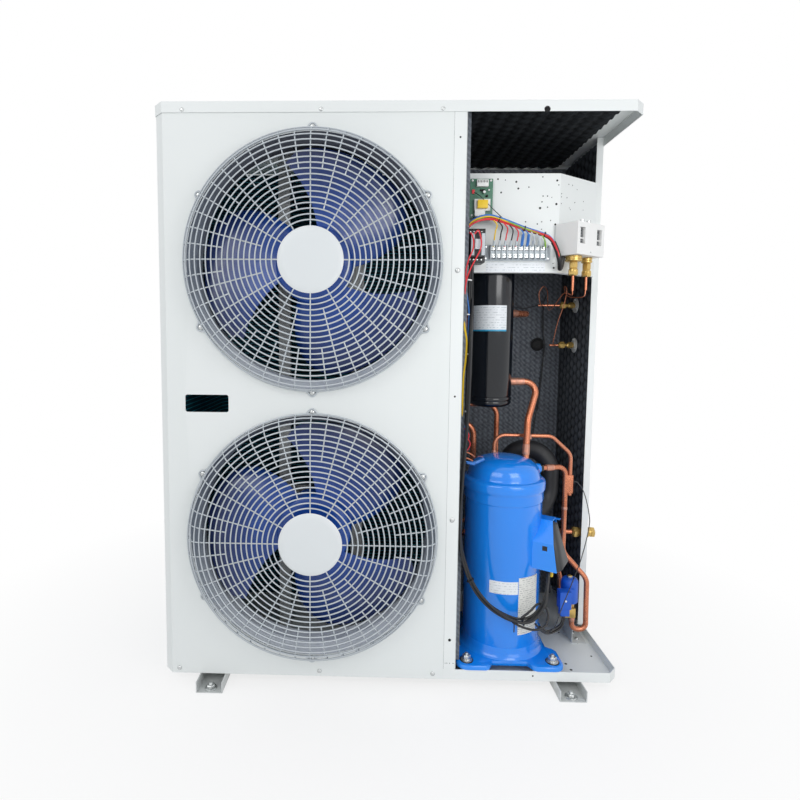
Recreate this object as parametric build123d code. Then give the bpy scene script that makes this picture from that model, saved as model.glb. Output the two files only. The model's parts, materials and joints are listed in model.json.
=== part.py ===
"""Air-cooled refrigeration condensing unit with two stacked fans and an open service bay.

Frame: +X to the right seen from the front, +Y towards the back, +Z up, millimetres.
The origin is the centre of the foot-bolt rectangle, on the floor.
"""
from build123d import *
import os
from math import atan2, cos, degrees, hypot, radians, sin, sqrt, tan

# ------------------------------------------------------------------ cabinet
cabinet_width = 1050.0
cabinet_depth = 440.0
cabinet_height = 1280.0         # underside of the pan to the top of the cover
corner = 22.0                   # 45 degree cut of the two front corners
sheet = 1.5                     # casing steel
skirt = 23.0                    # turned edge of the cover and of the pan
lap = 0.4                       # air between two lapped sheets
seat = 0.3                      # air under a part that rests on another
air = 0.5                       # air round a pipe or screw in its hole

# ------------------------------------------------------------------ feet
foot_height = 25.0
foot_width = 60.0
foot_wall = 2.0
foot_spacing = 816.0            # between the two rails
foot_overhang = 30.0            # rail beyond the cabinet, front and back
foot_bolt_margin = 15.0         # bolt to the end of the rail
foot_bolt_hole = 12.0

# ------------------------------------------------------------------ main planes of the cabinet
half_width = cabinet_width / 2
half_depth = cabinet_depth / 2
pan_bottom = foot_height
pan_floor = pan_bottom + sheet
pan_rim = pan_bottom + skirt
cabinet_top = pan_bottom + cabinet_height

# ------------------------------------------------------------------ front and bay
bay_width = 402.0               # right edge of the fan panel to the right side
post_width = 26.0
post_depth = 22.0
side_front = 208.0 - half_depth # front edge of the right side panel
side_return = 16.0              # its edge turned into the bay
front_return = 30.0             # edge of the fan panel turned round the left side
foam = 11.0                     # sound lining
hatch_margin = 63.0             # viewing slot between the fans, from the left side
hatch_width = 97.0
hatch_height = 39.0
hatch_drop = 4.5                # below the middle between the fans
hatch_round = 5.0
front_right = half_width - bay_width

# ------------------------------------------------------------------ fans
upper_fan_drop = 338.0          # top of the cabinet to the upper fan's axis
lower_fan_rise = 329.0          # pan to the lower fan's axis
fan_margin = 24.0               # orifice to the right edge of the fan panel
orifice_gap = 59.0              # between the two orifices
orifice_sides = 94.0            # both margins of an orifice across the fan panel
throat_step = 15.0              # the throat is this much smaller than the orifice
bellmouth_flange = 16.0
bellmouth_flare = 28.0          # length of the cone
bellmouth_throat = 42.0         # length of the straight part
bellmouth_wall = 2.5
blade_count = 3
blade_tip_gap = 6.0
blade_thickness = 3.5
blade_setback = 28.0            # hub nose behind the panel face
hub_radius = 87.0
hub_depth = 62.0
hub_wall = 3.0
hub_nose = 5.0                  # thickness and chamfer of the hub's front
shaft_radius = 6.0
shaft_fit = 0.05
shaft_stop = 10.0               # hub nose to the end of the shaft's hole
boss_radius = 17.0
motor_radius = 66.0
motor_length = 92.0
motor_gap = 26.0                # hub to motor
rail_spacing = 190.0
rail_width = 30.0
rail_depth = 20.0
rail_wall = 2.0
motor_plate_height = 120.0
upper_fan_z = cabinet_top - upper_fan_drop
lower_fan_z = pan_bottom + lower_fan_rise
orifice_radius = min(upper_fan_z - lower_fan_z - orifice_gap, half_width + front_right - orifice_sides) / 2
throat_radius = orifice_radius - throat_step
fan_x = front_right - orifice_radius - fan_margin
hatch_left = hatch_margin - half_width
hatch_middle = (upper_fan_z + lower_fan_z) / 2 - hatch_drop

# ------------------------------------------------------------------ wire guard
guard_lap = 4.0                 # rim beyond the orifice
guard_depth = 48.0
guard_rim = 35.0                # width of the sloped rim
guard_disc_radius = 71.0
guard_disc_thickness = 2.0
guard_pitch = 21.0
spoke_wire = 3.4
ring_wire = 3.0
ring_sides = 18
spoke_count = 24
eyelet_count = 6
eyelet_radius = 11.0
eyelet_hole = 5.0
guard_radius = orifice_radius + guard_lap
guard_flat_radius = guard_radius - guard_rim

# ------------------------------------------------------------------ coil
coil_thickness = 44.0
coil_bend = 60.0                # inner radius of the corner
coil_front = 30.0 - half_depth
coil_gap = 38.5                 # under the top of the cabinet
end_plate = 1.5

# ------------------------------------------------------------------ compressor
compressor_x = front_right + 156.0
compressor_y = 125.0 - half_depth
shell_radius = 92.0
shell_collar = 94.5             # wider ring between seam and weld bulge
shell_bulge = 98.0
shell_seam = 420.0
bulge_low = 444.0
bulge_high = 472.0
shell_top = 521.0
foot_plate_size = 246.0
foot_plate_thickness = 10.0
foot_hole_spacing = 198.0
cone_flare = 20.0               # sloped collar of the plate round the shell
grommet_radius = 18.0
grommet_height = 22.0
grommet_bolt = 8.0
washer_radius = 13.0
bolt_head = 7.0

# ------------------------------------------------------------------ terminal box on the shell
box_angle = -32.0               # turned from +X towards the front
box_depth = 60.0
box_half = 37.0
box_low = 272.0
box_high = 378.0
box_slant = 30.0                # slanted upper corner
cable_hole = 12.0
stub_z = 483.0                  # side port of the shell
stub_length = 14.0

# ------------------------------------------------------------------ valves
valve_body = 26.0               # service valves through the right side panel
valve_nut = 18.0
valve_reach = 26.0
liquid_valve_y = 232.0 - half_depth
liquid_valve_z = 292.0
suction_valve_y = half_depth - 90.0
suction_valve_z = 196.0
solenoid_x = front_right + 336.0
solenoid_y = 150.0 - half_depth
solenoid_body = 26.0
solenoid_low = 104.0
solenoid_coil_low = 142.0
solenoid_coil_high = 204.0
solenoid_coil_width = 42.0
solenoid_block = 24.0           # height of the brass body
solenoid_stem = 6.0
gauge_y = half_depth - 132.0
gauge_heights = (895.0, 787.0)
gauge_tips = (front_right + 283.0, front_right + 317.0)

# ------------------------------------------------------------------ oil separator
separator_x = front_right + 128.0
separator_y = 178.0 - half_depth
separator_radius = 53.5
separator_bottom = 633.0
separator_height = 350.0
separator_low_port = 697.0
separator_high_port = 870.0
separator_port_turn = 38.5      # the upper port points back and to the right
separator_end = 11.0            # rounding of both ends
port_length = 12.0
strap_width = 18.0
strap_thickness = 2.0

# ------------------------------------------------------------------ pipes (outside diameters)
discharge_pipe = 15.9
riser_pipe = 15.9
liquid_pipe = 12.7
injection_pipe = 9.5
suction_lagging = 48.0          # suction pipe with its foam sleeve
capillary = 2.4
riser_x = front_right + 323.0   # the pipe that comes down from the shell's side port
riser_y = 170.0 - half_depth
clip_low = 416.0
clip_high = 462.0
arch_top = 564.0
loop_x = front_right + 305.0    # the lagged suction loop beside the shell
loop_y = 238.0 - half_depth
loop_low = 362.0
loop_high = 508.0

# ------------------------------------------------------------------ electrical plate
plate_bend_x = front_right + 259.0
plate_y = 96.0 - half_depth
plate_angle = 34.5
plate_end_x = front_right + 374.0
plate_drop = 122.0              # top of the cabinet to the top of the plate
plate_height = 225.0
plate_flange = 16.0
plate_top = cabinet_top - plate_drop
plate_bottom = plate_top - plate_height

# ------------------------------------------------------------------ pressure switch
switch_width = 100.0
switch_depth = 57.0
switch_height = 72.0
switch_bottom = plate_bottom + 36.0
switch_overhang = 12.0          # case beyond the bend of the plate
scale_width = 18.0
scale_height = 36.0
scale_depth = 7.0
scale_inset = 10.0
adjuster_radius = 5.0
adjuster_height = 9.0
pointer_size = 3.0
low_bellows_radius = 19.0
high_bellows_radius = 12.0

# ------------------------------------------------------------------ contactor
contactor_width = 40.0
contactor_height = 74.0
contactor_depth = 62.0
armature_width = 14.0
armature_height = 22.0
armature_stroke = 4.0

# ------------------------------------------------------------------ terminal strip and circuit board
strip_left = front_right + 85.0
strip_bottom = plate_bottom + 25.0
strip_width = 154.0
strip_height = 38.0
strip_end = 14.0
strip_ways = 10
board_left = front_right + 51.0
board_bottom = plate_bottom + 123.0
board_width = 52.0
board_height = 88.0
board_pillar = 8.4

# ------------------------------------------------------------------ wiring (outside diameters)
harness = 11.0
cable = 13.0
coil_lead = 6.0

# ------------------------------------------------------------------ places worked out from the sizes
under_cover = cabinet_top - sheet - lap
panel_inset = sheet + lap
pan_inset = 2 * (sheet + lap)
inner_inset = pan_inset + sheet + lap
panel_face = -half_depth + panel_inset
panel_back = panel_face + sheet
post_left = front_right + lap
post_right = post_left + post_width
partition_x = post_right + lap
bay_left = partition_x + sheet + foam
bay_right = half_width - inner_inset - foam
bay_back = half_depth - inner_inset - foam
panel_bottom = pan_bottom + 1.0
coil_back = half_depth - inner_inset
coil_left = -half_width + inner_inset
coil_right = partition_x - end_plate - lap
hub_front = panel_face + blade_setback
hub_back = hub_front + hub_depth
motor_front = hub_back + motor_gap
motor_back = motor_front + motor_length
rail_front = motor_back + rail_wall
grommet_top = pan_floor + grommet_height
foot_plate_top = grommet_top + foot_plate_thickness
shell_bottom = foot_plate_top + seat
stub_turn = atan2(riser_y - compressor_y, riser_x - compressor_x)
clip_edge = riser_x + liquid_pipe / 2 + injection_pipe + sheet + 2 * seat
plate_turn = radians(plate_angle)
plate_end_y = plate_y + (plate_end_x - plate_bend_x) * tan(plate_turn)
lining_top = under_cover - foam - seat
coil_top = cabinet_top - coil_gap
valve_places = ((liquid_valve_y, liquid_valve_z), (suction_valve_y, suction_valve_z))
valve_stop = bay_right - valve_nut - seat
switch_left = -switch_overhang  # the switch's own X runs along the turned plate from its bend
switch_right = switch_left + switch_width
switch_front = -seat - switch_depth
switch_top = switch_bottom + switch_height
scale_top = switch_top - 12
scale_middles = (switch_left + scale_inset + scale_width / 2, switch_right - scale_inset - scale_width / 2)
adjuster_places = ((switch_left + 38, switch_front + 16), (switch_left + 62, switch_front + 16))
bellows_places = ((switch_left + 27, switch_front + 27), (switch_left + 77, switch_front + 27))
scale_low = scale_top - scale_height
pointer_rest = scale_low + 11


# ------------------------------------------------------------------ general helpers
def block(x0, x1, y0, y1, z0, z1):
    """A box between two opposite corners."""
    return Pos((x0 + x1) / 2, (y0 + y1) / 2, (z0 + z1) / 2) * Box(x1 - x0, y1 - y0, z1 - z0)


def prism(points, z0, z1):
    """An upright prism over an outline drawn on the ground."""
    outline = make_face(Polyline(*points, close=True))
    return extrude(Pos(0, 0, z0) * outline, z1 - z0)


def rod(start, end, radius):
    """A straight round bar between two points."""
    run = Vector(*end) - Vector(*start)
    return extrude(Plane(Vector(*start), z_dir=run) * Circle(radius), run.length)


def hexagon(start, end, across_flats):
    """A straight hexagonal bar between two points, such as a nut."""
    run = Vector(*end) - Vector(*start)
    section = Plane(Vector(*start), z_dir=run) * RegularPolygon(across_flats / 2, 6, major_radius=False)
    return extrude(section, run.length)


def tube(points, bends, diameter, sides=6):
    """A pipe or cable along straight runs joined by tangent arcs."""
    path = FilletPolyline(*points, radius=bends)
    section = Plane(path @ 0, z_dir=path % 0) * RegularPolygon(diameter / 2, sides)
    return sweep(section, path=path)


def open_bends(points):
    """The largest arcs that the runs of a cable's route leave room for."""
    bends = []
    for before, here, after in zip(points, points[1:], points[2:]):
        run_in = Vector(*here) - Vector(*before)
        run_out = Vector(*after) - Vector(*here)
        turn = radians(run_in.get_angle(run_out))
        bends.append(0.45 * min(run_in.length, run_out.length) / tan(turn / 2))
    return bends


def across(x):
    """A place in the service bay, measured from the right edge of the fan panel."""
    return front_right + x


def behind(y):
    """A place in the service bay, measured from the front of the cabinet."""
    return y - half_depth


def turned(profile):
    """A solid of revolution about Z from (radius, height) pairs."""
    outline = make_face(Polyline(*[(r, 0, z) for r, z in profile], close=True))
    return revolve(outline, Axis.Z, 360)


def joined(pieces):
    """One solid from several that touch or cross."""
    whole = pieces[0]
    for piece in pieces[1:]:
        whole += piece
    return whole


def plan(inset):
    """The cabinet's outline, with its two cut front corners, moved in by inset."""
    x = half_width - inset
    y = half_depth - inset
    cut = corner - inset * (2 - sqrt(2))
    return [(-x, y), (-x, -y + cut), (-x + cut, -y), (x - cut, -y), (x, -y + cut), (x, y)]


def casing_wall(z0, z1):
    """The closed band of casing sheet that every side panel is a part of."""
    return prism(plan(panel_inset), z0, z1) - prism(plan(panel_inset + sheet), z0 - 1, z1 + 1)


def at_fan(shape, fan_z):
    """Puts a part drawn about Z, nose up, on a fan's axis with its nose to the front."""
    return Pos(fan_x, 0, fan_z) * Rot(90, 0, 0) * shape


# ------------------------------------------------------------------ cabinet parts
def base_pan():
    tray = prism(plan(pan_inset), pan_bottom, pan_rim)
    return tray - prism(plan(pan_inset + sheet), pan_floor, pan_rim + 1)


def foot_rail(side):
    length = cabinet_depth + 2 * foot_overhang
    bolt_y = length / 2 - foot_bolt_margin
    x = side * foot_spacing / 2
    outer = block(x - foot_width / 2, x + foot_width / 2, -length / 2, length / 2, 0, foot_height)
    wall = foot_width / 2 - foot_wall
    rail = outer - block(x - wall, x + wall, -length, length, foot_wall, foot_height + 1)
    for y in (-bolt_y, bolt_y):
        rail -= rod((x, y, -1), (x, y, foot_wall + 1), foot_bolt_hole / 2)
    return rail


def top_cover():
    lid = prism(plan(0), cabinet_top - skirt, cabinet_top)
    return lid - prism(plan(sheet), cabinet_top - skirt - 1, cabinet_top - sheet)


def front_panel():
    back = -half_depth + corner + front_return
    part = block(-half_width, front_right, -half_depth, back, 0, cabinet_top)
    panel = casing_wall(panel_bottom, under_cover) & part
    edge_back = panel_back + post_depth - lap
    panel += block(front_right - sheet, front_right, panel_back, edge_back, pan_rim + seat, under_cover)
    for fan_z in (upper_fan_z, lower_fan_z):
        panel -= rod((fan_x, -half_depth, fan_z), (fan_x, panel_back + 1, fan_z), orifice_radius)
    centre = (hatch_left + hatch_width / 2, -half_depth, hatch_middle)
    hatch = Plane(centre, x_dir=(1, 0, 0), z_dir=(0, 1, 0))
    return panel - extrude(hatch * RectangleRounded(hatch_width, hatch_height, hatch_round), corner / 2)


def front_post():
    """A channel beside the fan panel, open to the back."""
    back = panel_face + post_depth
    post = block(post_left, post_right, panel_face, back, pan_rim + seat, under_cover)
    return post - block(post_left + sheet, post_right - sheet, panel_back, back + 1, 0, cabinet_top)


def mid_partition():
    return block(partition_x, partition_x + sheet, -coil_back, coil_back, pan_floor, under_cover - sheet)


def valve_holes(x0, x1):
    """Round bars that clear both service valves between two places along X."""
    radius = valve_body / 2 + air
    bars = [rod((x0, y, z), (x1, y, z), radius) for y, z in valve_places]
    return bars[0] + bars[1]


def right_side_panel():
    """The side wall, its front edge turned into the bay, with the two valve holes."""
    outer = half_width - panel_inset
    back = half_depth - panel_inset - sheet - lap
    part = block(0, half_width, side_front, back, 0, cabinet_top)
    panel = casing_wall(panel_bottom, under_cover) & part
    panel += block(outer - side_return, outer, side_front, side_front + sheet, pan_rim + seat, under_cover)
    return panel - valve_holes(outer - 2 * sheet, outer + 1)


def rear_panel():
    front = half_depth - panel_inset - sheet
    part = block(partition_x, half_width, front, half_depth, 0, cabinet_top)
    return casing_wall(panel_bottom, under_cover) & part


# ------------------------------------------------------------------ sound lining
def top_foam():
    left = partition_x + sheet
    return block(left, bay_right - 2 * foam, -half_depth + corner, bay_back, under_cover - foam, under_cover)


def rear_foam():
    return block(bay_left, bay_right, bay_back, bay_back + foam, pan_floor + seat, lining_top)


def side_foam():
    start = side_front + sheet + seat
    lining = block(bay_right, bay_right + foam, start, bay_back + foam, pan_rim, lining_top)
    return lining - valve_holes(bay_right - 1, half_width)


def partition_foam():
    left = partition_x + sheet
    bottom = foot_plate_top + 2 * seat
    return block(left, left + foam, panel_face + post_depth, bay_back + foam, bottom, lining_top)


# ------------------------------------------------------------------ coil
def rounded_corner_block(x0, x1, y0, y1, radius):
    """A full-height block whose upright edge at (x0, y1) is rounded."""
    body = block(x0, x1, y0, y1, pan_floor, coil_top)
    uprights = body.edges().filter_by(Axis.Z)
    edge = uprights.sort_by(lambda line: hypot(line.center().X - x0, line.center().Y - y1))[0]
    return fillet(edge, radius)


def condenser_fins():
    """The fin pack, bent round the rear left corner."""
    t = coil_thickness
    front, back = coil_front, coil_back
    outside = rounded_corner_block(coil_left, coil_right, front, back, coil_bend + t)
    inside = rounded_corner_block(coil_left + t, coil_right + 1, front - 1, back - t, coil_bend)
    return outside - inside


def coil_end_plates():
    t = coil_thickness
    left = block(coil_left, coil_left + t, coil_front - end_plate, coil_front, pan_floor, coil_top)
    right = block(coil_right, coil_right + end_plate, coil_back - t, coil_back, pan_floor, coil_top)
    return Compound([left, right])


# ------------------------------------------------------------------ fans
def bellmouth(fan_z):
    """A flanged ring behind the panel, flared to the throat that the blades run in."""
    outside = orifice_radius + bellmouth_flange
    inside = throat_radius
    wall = bellmouth_wall
    face = -(panel_back + seat)
    flare = face - bellmouth_flare
    back = flare - bellmouth_throat
    profile = [
        (outside, face), (orifice_radius, face), (inside, flare), (inside, back),
        (inside + wall, back), (inside + wall, flare),
        (orifice_radius + wall / 2, face - wall), (outside, face - wall),
    ]
    return at_fan(turned(profile), fan_z)


def blade():
    """One wide swept blade, lofted through upright sections from its leading to its trailing edge."""
    tip = throat_radius - blade_tip_gap
    root = hub_radius - hub_wall
    sections = []
    for share, reach in ((0, 0.80), (0.14, 0.955), (0.5, 1.0), (0.86, 1.0), (1.0, 0.90)):
        inner_angle = radians(86 * share)
        outer_angle = radians(18 + 88 * share)
        inner_z = -hub_depth + 8 + (hub_depth - 20) * share
        outer_z = -hub_depth - 16 + (hub_depth + 8) * share
        inner = Vector(root * cos(inner_angle), root * sin(inner_angle), inner_z)
        outer = Vector(reach * tip * cos(outer_angle), reach * tip * sin(outer_angle), outer_z)
        up = Vector(0, 0, blade_thickness)
        sections.append(make_face(Polyline(inner, outer, outer + up, inner + up, close=True)))
    return loft(sections)


def fan(fan_z):
    """Three blades moulded on a cup-shaped hub with a boss for the shaft."""
    inside = hub_radius - hub_wall
    rotor = turned([
        (0, 0), (hub_radius - hub_nose, 0), (hub_radius, -hub_nose), (hub_radius, -hub_depth),
        (inside, -hub_depth), (inside, -hub_nose), (0, -hub_nose),
    ])
    rotor += Pos(0, 0, -hub_depth) * extrude(RegularPolygon(boss_radius, 8), hub_depth - hub_nose)
    one = blade() - Pos(0, 0, -2 * hub_depth) * extrude(Circle(inside), 4 * hub_depth)
    for turn in range(blade_count):
        rotor += Rot(0, 0, turn * 360 / blade_count) * one
    rotor -= Pos(0, 0, -hub_depth - 1) * extrude(Circle(shaft_radius), hub_depth + 1 - shaft_stop)
    return at_fan(Pos(0, 0, -hub_front) * rotor, fan_z)


def fan_shaft(fan_z):
    start = hub_front + shaft_stop + 1
    return rod((fan_x, start, fan_z), (fan_x, motor_front + shaft_stop, fan_z), shaft_radius)


def fan_motor(fan_z):
    body = rod((fan_x, motor_front, fan_z), (fan_x, motor_back, fan_z), motor_radius)
    deep = motor_front + shaft_stop + 2
    return body - rod((fan_x, motor_front - 1, fan_z), (fan_x, deep, fan_z), shaft_radius + shaft_fit)


def motor_frame():
    """Two upright channels from pan to cover, with a cross plate behind each motor."""
    half = rail_width / 2
    reach = rail_spacing / 2 + half
    back = rail_front + rail_depth
    pieces = []
    for side in (-1, 1):
        x = fan_x + side * rail_spacing / 2
        rail = block(x - half, x + half, rail_front, back, pan_floor, under_cover - sheet)
        inside = half - rail_wall
        pieces.append(rail - block(x - inside, x + inside, rail_front + rail_wall, back + 1, 0, cabinet_top))
    for fan_z in (upper_fan_z, lower_fan_z):
        low = fan_z - motor_plate_height / 2
        high = low + motor_plate_height
        pieces.append(block(fan_x - reach, fan_x + reach, motor_back, rail_front, low, high))
    return joined(pieces)


# ------------------------------------------------------------------ wire guard
def guard_drop(radius):
    """How far the guard's wires lie behind its flat front at a radius."""
    outer = max(radius - guard_flat_radius, 0.0) / (guard_radius - guard_flat_radius)
    return (guard_depth - ring_wire - spoke_wire) * outer


def guard_ring(radius):
    """A ring of wire with a three-sided section, lying on the spokes."""
    half = ring_wire / 2
    level = guard_depth - guard_drop(radius)
    sides = ring_sides if radius > guard_flat_radius / 2 else ring_sides - 6
    outline = RegularPolygon(radius, sides, major_radius=False).edges()
    path = Pos(0, 0, level) * Wire(outline)
    start = path @ 0
    along = path % 0
    section = Plane(start, x_dir=along.cross(Vector(0, 0, 1)), z_dir=along)
    wire = section * make_face(Polyline((-half, ring_wire), (half, ring_wire), (0, 0), close=True))
    return sweep(wire, path=path, transition=Transition.RIGHT)


def guard_spoke(start, angle):
    """A bent wire from the disc or a ring out to the rim."""
    front = []
    for radius in (start, guard_flat_radius, guard_radius):
        front.append((radius, 0, guard_depth - ring_wire - guard_drop(radius)))
    back = [(radius, 0, z - spoke_wire) for radius, _, z in reversed(front)]
    strip = make_face(Polyline(*front, *back, close=True))
    return Rot(0, 0, angle) * extrude(strip, spoke_wire / 2, both=True)


def guard_eyelet(angle):
    """A flattened loop outside the rim that takes a fixing screw."""
    reach = guard_radius + eyelet_hole - 1
    loop = RegularPolygon(eyelet_radius, 6) - RegularPolygon(eyelet_hole, 6)
    return Rot(0, 0, angle) * Pos(reach, 0, 0) * extrude(loop, spoke_wire)


def fan_guard(fan_z):
    disc = extrude(RegularPolygon(guard_disc_radius, ring_sides), guard_disc_thickness)
    wires = [Pos(0, 0, guard_depth - ring_wire) * disc]
    radius = guard_disc_radius + guard_pitch
    while radius < guard_radius - guard_pitch / 3:
        wires.append(guard_ring(radius))
        radius += guard_pitch
    wires.append(guard_ring(guard_radius))
    for number in range(spoke_count):
        long_one = number % 2 == 0
        start = guard_disc_radius - 8 if long_one else guard_disc_radius + 3 * guard_pitch - 4
        wires.append(guard_spoke(start, (number + 0.5) * 360 / spoke_count))
    for number in range(eyelet_count):
        wires.append(guard_eyelet(30 + number * 360 / eyelet_count))
    return at_fan(Pos(0, 0, -panel_face + seat) * Compound(wires), fan_z)


# ------------------------------------------------------------------ compressor
def at_compressor(shape):
    return Pos(compressor_x, compressor_y, 0) * shape


def compressor_corners():
    """The four mounting holes, from the compressor's axis."""
    half = foot_hole_spacing / 2
    return [(x, y) for x in (-half, half) for y in (-half, half)]


def compressor_shell():
    """A domed steel can with a rolled seam, a collar and a weld bulge under its cap."""
    profile = [
        (0, shell_bottom), (shell_radius - 8, shell_bottom), (shell_radius, shell_bottom + 14),
        (shell_radius, shell_seam), (shell_collar, shell_seam + 2), (shell_collar, bulge_low),
        (shell_bulge, bulge_low + 6), (shell_bulge, bulge_high - 7), (shell_radius - 3, bulge_high),
        (shell_radius - 10, bulge_high + 28), (shell_radius - 34, shell_top - 4), (0, shell_top),
    ]
    stub = hexagon((shell_radius - 12, 0, stub_z), (shell_radius + stub_length, 0, stub_z), 22)
    return at_compressor(turned(profile) + Rot(0, 0, degrees(stub_turn)) * stub)


def compressor_foot_plate():
    """A pressed plate with a lobe round each mounting hole and a waist between them."""
    half = foot_plate_size / 2
    lobe = (foot_plate_size - foot_hole_spacing) / 2
    outline = RectangleRounded(2 * half, 2 * half, lobe)
    plate = Pos(0, 0, grommet_top) * extrude(outline, foot_plate_thickness)
    waist = foot_plate_size * 0.23
    for turn in range(4):
        notch = [(-waist, -half - 1), (waist, -half - 1), (waist - 18, -half + 17), (18 - waist, -half + 17)]
        plate -= Rot(0, 0, 90 * turn) * prism(notch, 0, foot_plate_top)
    top = Pos(0, 0, foot_plate_top)
    plate += top * extrude(RegularPolygon(shell_radius + cone_flare, 24), cone_flare, taper=34)
    plate -= top * extrude(RegularPolygon(shell_radius + seat, 24, major_radius=False), cone_flare + 1)
    for x, y in compressor_corners():
        plate -= rod((x, y, 0), (x, y, foot_plate_top + 1), grommet_bolt / 2 + air)
    return at_compressor(plate)


def compressor_grommets():
    rubber = extrude(RegularPolygon(grommet_radius, 10), grommet_height)
    return Compound([at_compressor(Pos(x, y, pan_floor) * rubber) for x, y in compressor_corners()])


def compressor_bolts():
    bolt = hexagon((0, 0, grommet_top), (0, 0, foot_plate_top + 1), 0.9 * grommet_bolt)
    bolt += Pos(0, 0, foot_plate_top) * extrude(RegularPolygon(washer_radius, 10), 2)
    bolt += hexagon((0, 0, foot_plate_top + 2), (0, 0, foot_plate_top + 2 + bolt_head), 2 * grommet_bolt)
    return Compound([at_compressor(Pos(x, y, 0) * bolt) for x, y in compressor_corners()])


def box_outline(inset):
    """The terminal box seen from its open side, moved in by inset."""
    half = box_half - inset
    low, high = box_low + inset, box_high - inset
    slant = box_slant - inset * (2 - sqrt(2))
    return [(-half, low), (half, low), (half, high), (slant - half, high), (-half, high - slant)]


def terminal_box():
    """An open steel box on the shell's right front, with a slanted upper corner and a cable hole."""
    reach = box_depth + shell_radius
    side_on = Plane((0, 0, 0), x_dir=(0, 1, 0), z_dir=(1, 0, 0))
    body = extrude(side_on * make_face(Polyline(*box_outline(0), close=True)), reach)
    cavity = extrude(side_on * make_face(Polyline(*box_outline(sheet), close=True)), reach)
    body -= Pos(shell_radius + 2 * sheet, 0, 0) * cavity
    body -= Pos(0, 0, box_low - 1) * extrude(Circle(shell_radius + seat), box_high)
    x, z = shell_radius + 14, box_low + 46
    body -= block(x, x + cable_hole, -box_half - 1, 0, z, z + cable_hole)
    return at_compressor(Rot(0, 0, box_angle) * body)


# ------------------------------------------------------------------ oil separator
def oil_separator():
    """A tall closed cylinder with rounded ends and two side ports."""
    top = separator_bottom + separator_height
    r = separator_radius
    end = separator_end
    body = turned([(0, separator_bottom), (r - end, separator_bottom), (r, separator_bottom + end),
                   (r, top - end), (r - end, top), (0, top)])
    for turn, z in ((0, separator_low_port), (separator_port_turn, separator_high_port)):
        port = hexagon((r - 3, 0, z), (r + port_length, 0, z), discharge_pipe + 4)
        body += Rot(0, 0, turn) * port
    return Pos(separator_x, separator_y, 0) * body


def separator_bracket():
    """A strap round the cylinder, welded to a plate on the partition."""
    r = separator_radius + seat
    wall = bay_left + seat - separator_x
    low, high = separator_bottom + 70, separator_bottom + 262
    front = strap_width
    back = front + strap_width
    pieces = [block(wall, wall + strap_thickness, front - 8, back + 8, low - 10, high + 28)]
    for z in (low, high):
        top = z + strap_width
        band = Pos(0, 0, z) * extrude(Circle(r + strap_thickness) - Circle(r), strap_width)
        pieces.append(band & block(-2 * r, 0, 0, 2 * r, z, top))
        arm = block(wall, 1 - r / 2, front, back, z, top)
        pieces.append(arm - rod((0, 0, z - 1), (0, 0, top + 1), r))
    return Pos(separator_x, separator_y, 0) * joined(pieces)


# ------------------------------------------------------------------ refrigerant pipes
def discharge_line():
    """From the compressor's cap up to the lower port of the separator."""
    port = separator_x + separator_radius + port_length + seat
    z = separator_low_port
    route = [(across(210), behind(132), shell_top - 12), (across(215), behind(140), 606),
             (across(251), separator_y, z), (port, separator_y, z)]
    return tube(route, [60, 26], discharge_pipe, 8) - compressor_shell()


def hot_gas_line():
    """From the separator's upper port back to the coil, through the partition lining."""
    start = separator_radius + port_length + seat
    turn = radians(separator_port_turn)
    x, y = separator_x + start * cos(turn), separator_y + start * sin(turn)
    out = 100.0
    z = separator_high_port
    route = [(x, y, z), (x + out * cos(turn), y + out * sin(turn), z),
             (across(207), half_depth - 70, z), (bay_left + seat, half_depth - 70, z)]
    return tube(route, [26, 40], discharge_pipe)


def arch_line():
    """An arch from the cap over to the right, down to where it is brazed to the injection line."""
    end_x = riser_x + 0.5 * (liquid_pipe + injection_pipe) + seat
    route = [(across(139), behind(158), shell_top - 6), (across(139), behind(158), arch_top),
             (across(282), behind(162), arch_top - 2), (end_x, riser_y, arch_top - 49),
             (end_x, riser_y, clip_low - 6)]
    return tube(route, [26, 30, 30], injection_pipe) - compressor_shell()


def injection_line():
    """From the solenoid valve, round a low bend, up and over into the shell's side port."""
    start = (solenoid_x + 7, solenoid_y - 3, solenoid_low - seat)
    low = solenoid_low - 34
    reach = shell_radius + stub_length + seat
    stub = (compressor_x + reach * cos(stub_turn), compressor_y + reach * sin(stub_turn), stub_z)
    out_x = start[0] + 36
    route = [start, (start[0], start[1], low), (out_x, start[1], low), (out_x, start[1] + 5, 200),
             (riser_x, riser_y, 262), (riser_x, riser_y, stub_z), stub]
    pipe = tube(route, [16, 16, 34, 34, 22], liquid_pipe)
    back = riser_y - liquid_pipe / 2 + sheet
    clip = block(riser_x, clip_edge, back - sheet, back, clip_low, clip_high)
    return pipe + clip + block(clip_edge - sheet, clip_edge, back - sheet, riser_y + 6, clip_low, clip_high)


def suction_line():
    """The lagged suction pipe: shell, loop behind the cap, down the back, out to its valve."""
    turn = atan2(loop_y - compressor_y, loop_x - compressor_x)
    start = shell_radius + seat
    x, y = compressor_x + start * cos(turn), compressor_y + start * sin(turn)
    valve_y, valve_z = valve_places[1]
    route = [(x, y, loop_low), (loop_x, loop_y, loop_low), (loop_x, loop_y, loop_high),
             (across(207), behind(282), loop_high), (across(207), behind(316), 150),
             (across(297), valve_y, valve_z), (valve_stop, valve_y, valve_z)]
    return tube(route, [52, 52, 50, 52, 60], suction_lagging, 8)


def coil_lines():
    """The gas header in the bay and the liquid line from the valve on the wall, both ending in the coil."""
    wall = bay_left + seat
    x, y = across(105), behind(250)
    gas = [(wall, y, 580), (x, y, 580), (x, y, 276), (wall, y, 276)]
    x, back = across(332), half_depth - 48
    y, z = valve_places[0]
    liquid = [(valve_stop, y, z), (x, y, z), (x, back, 262), (wall, back, 262)]
    return Compound([tube(gas, [34, 34], riser_pipe), tube(liquid, [24, 40], liquid_pipe)])


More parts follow.
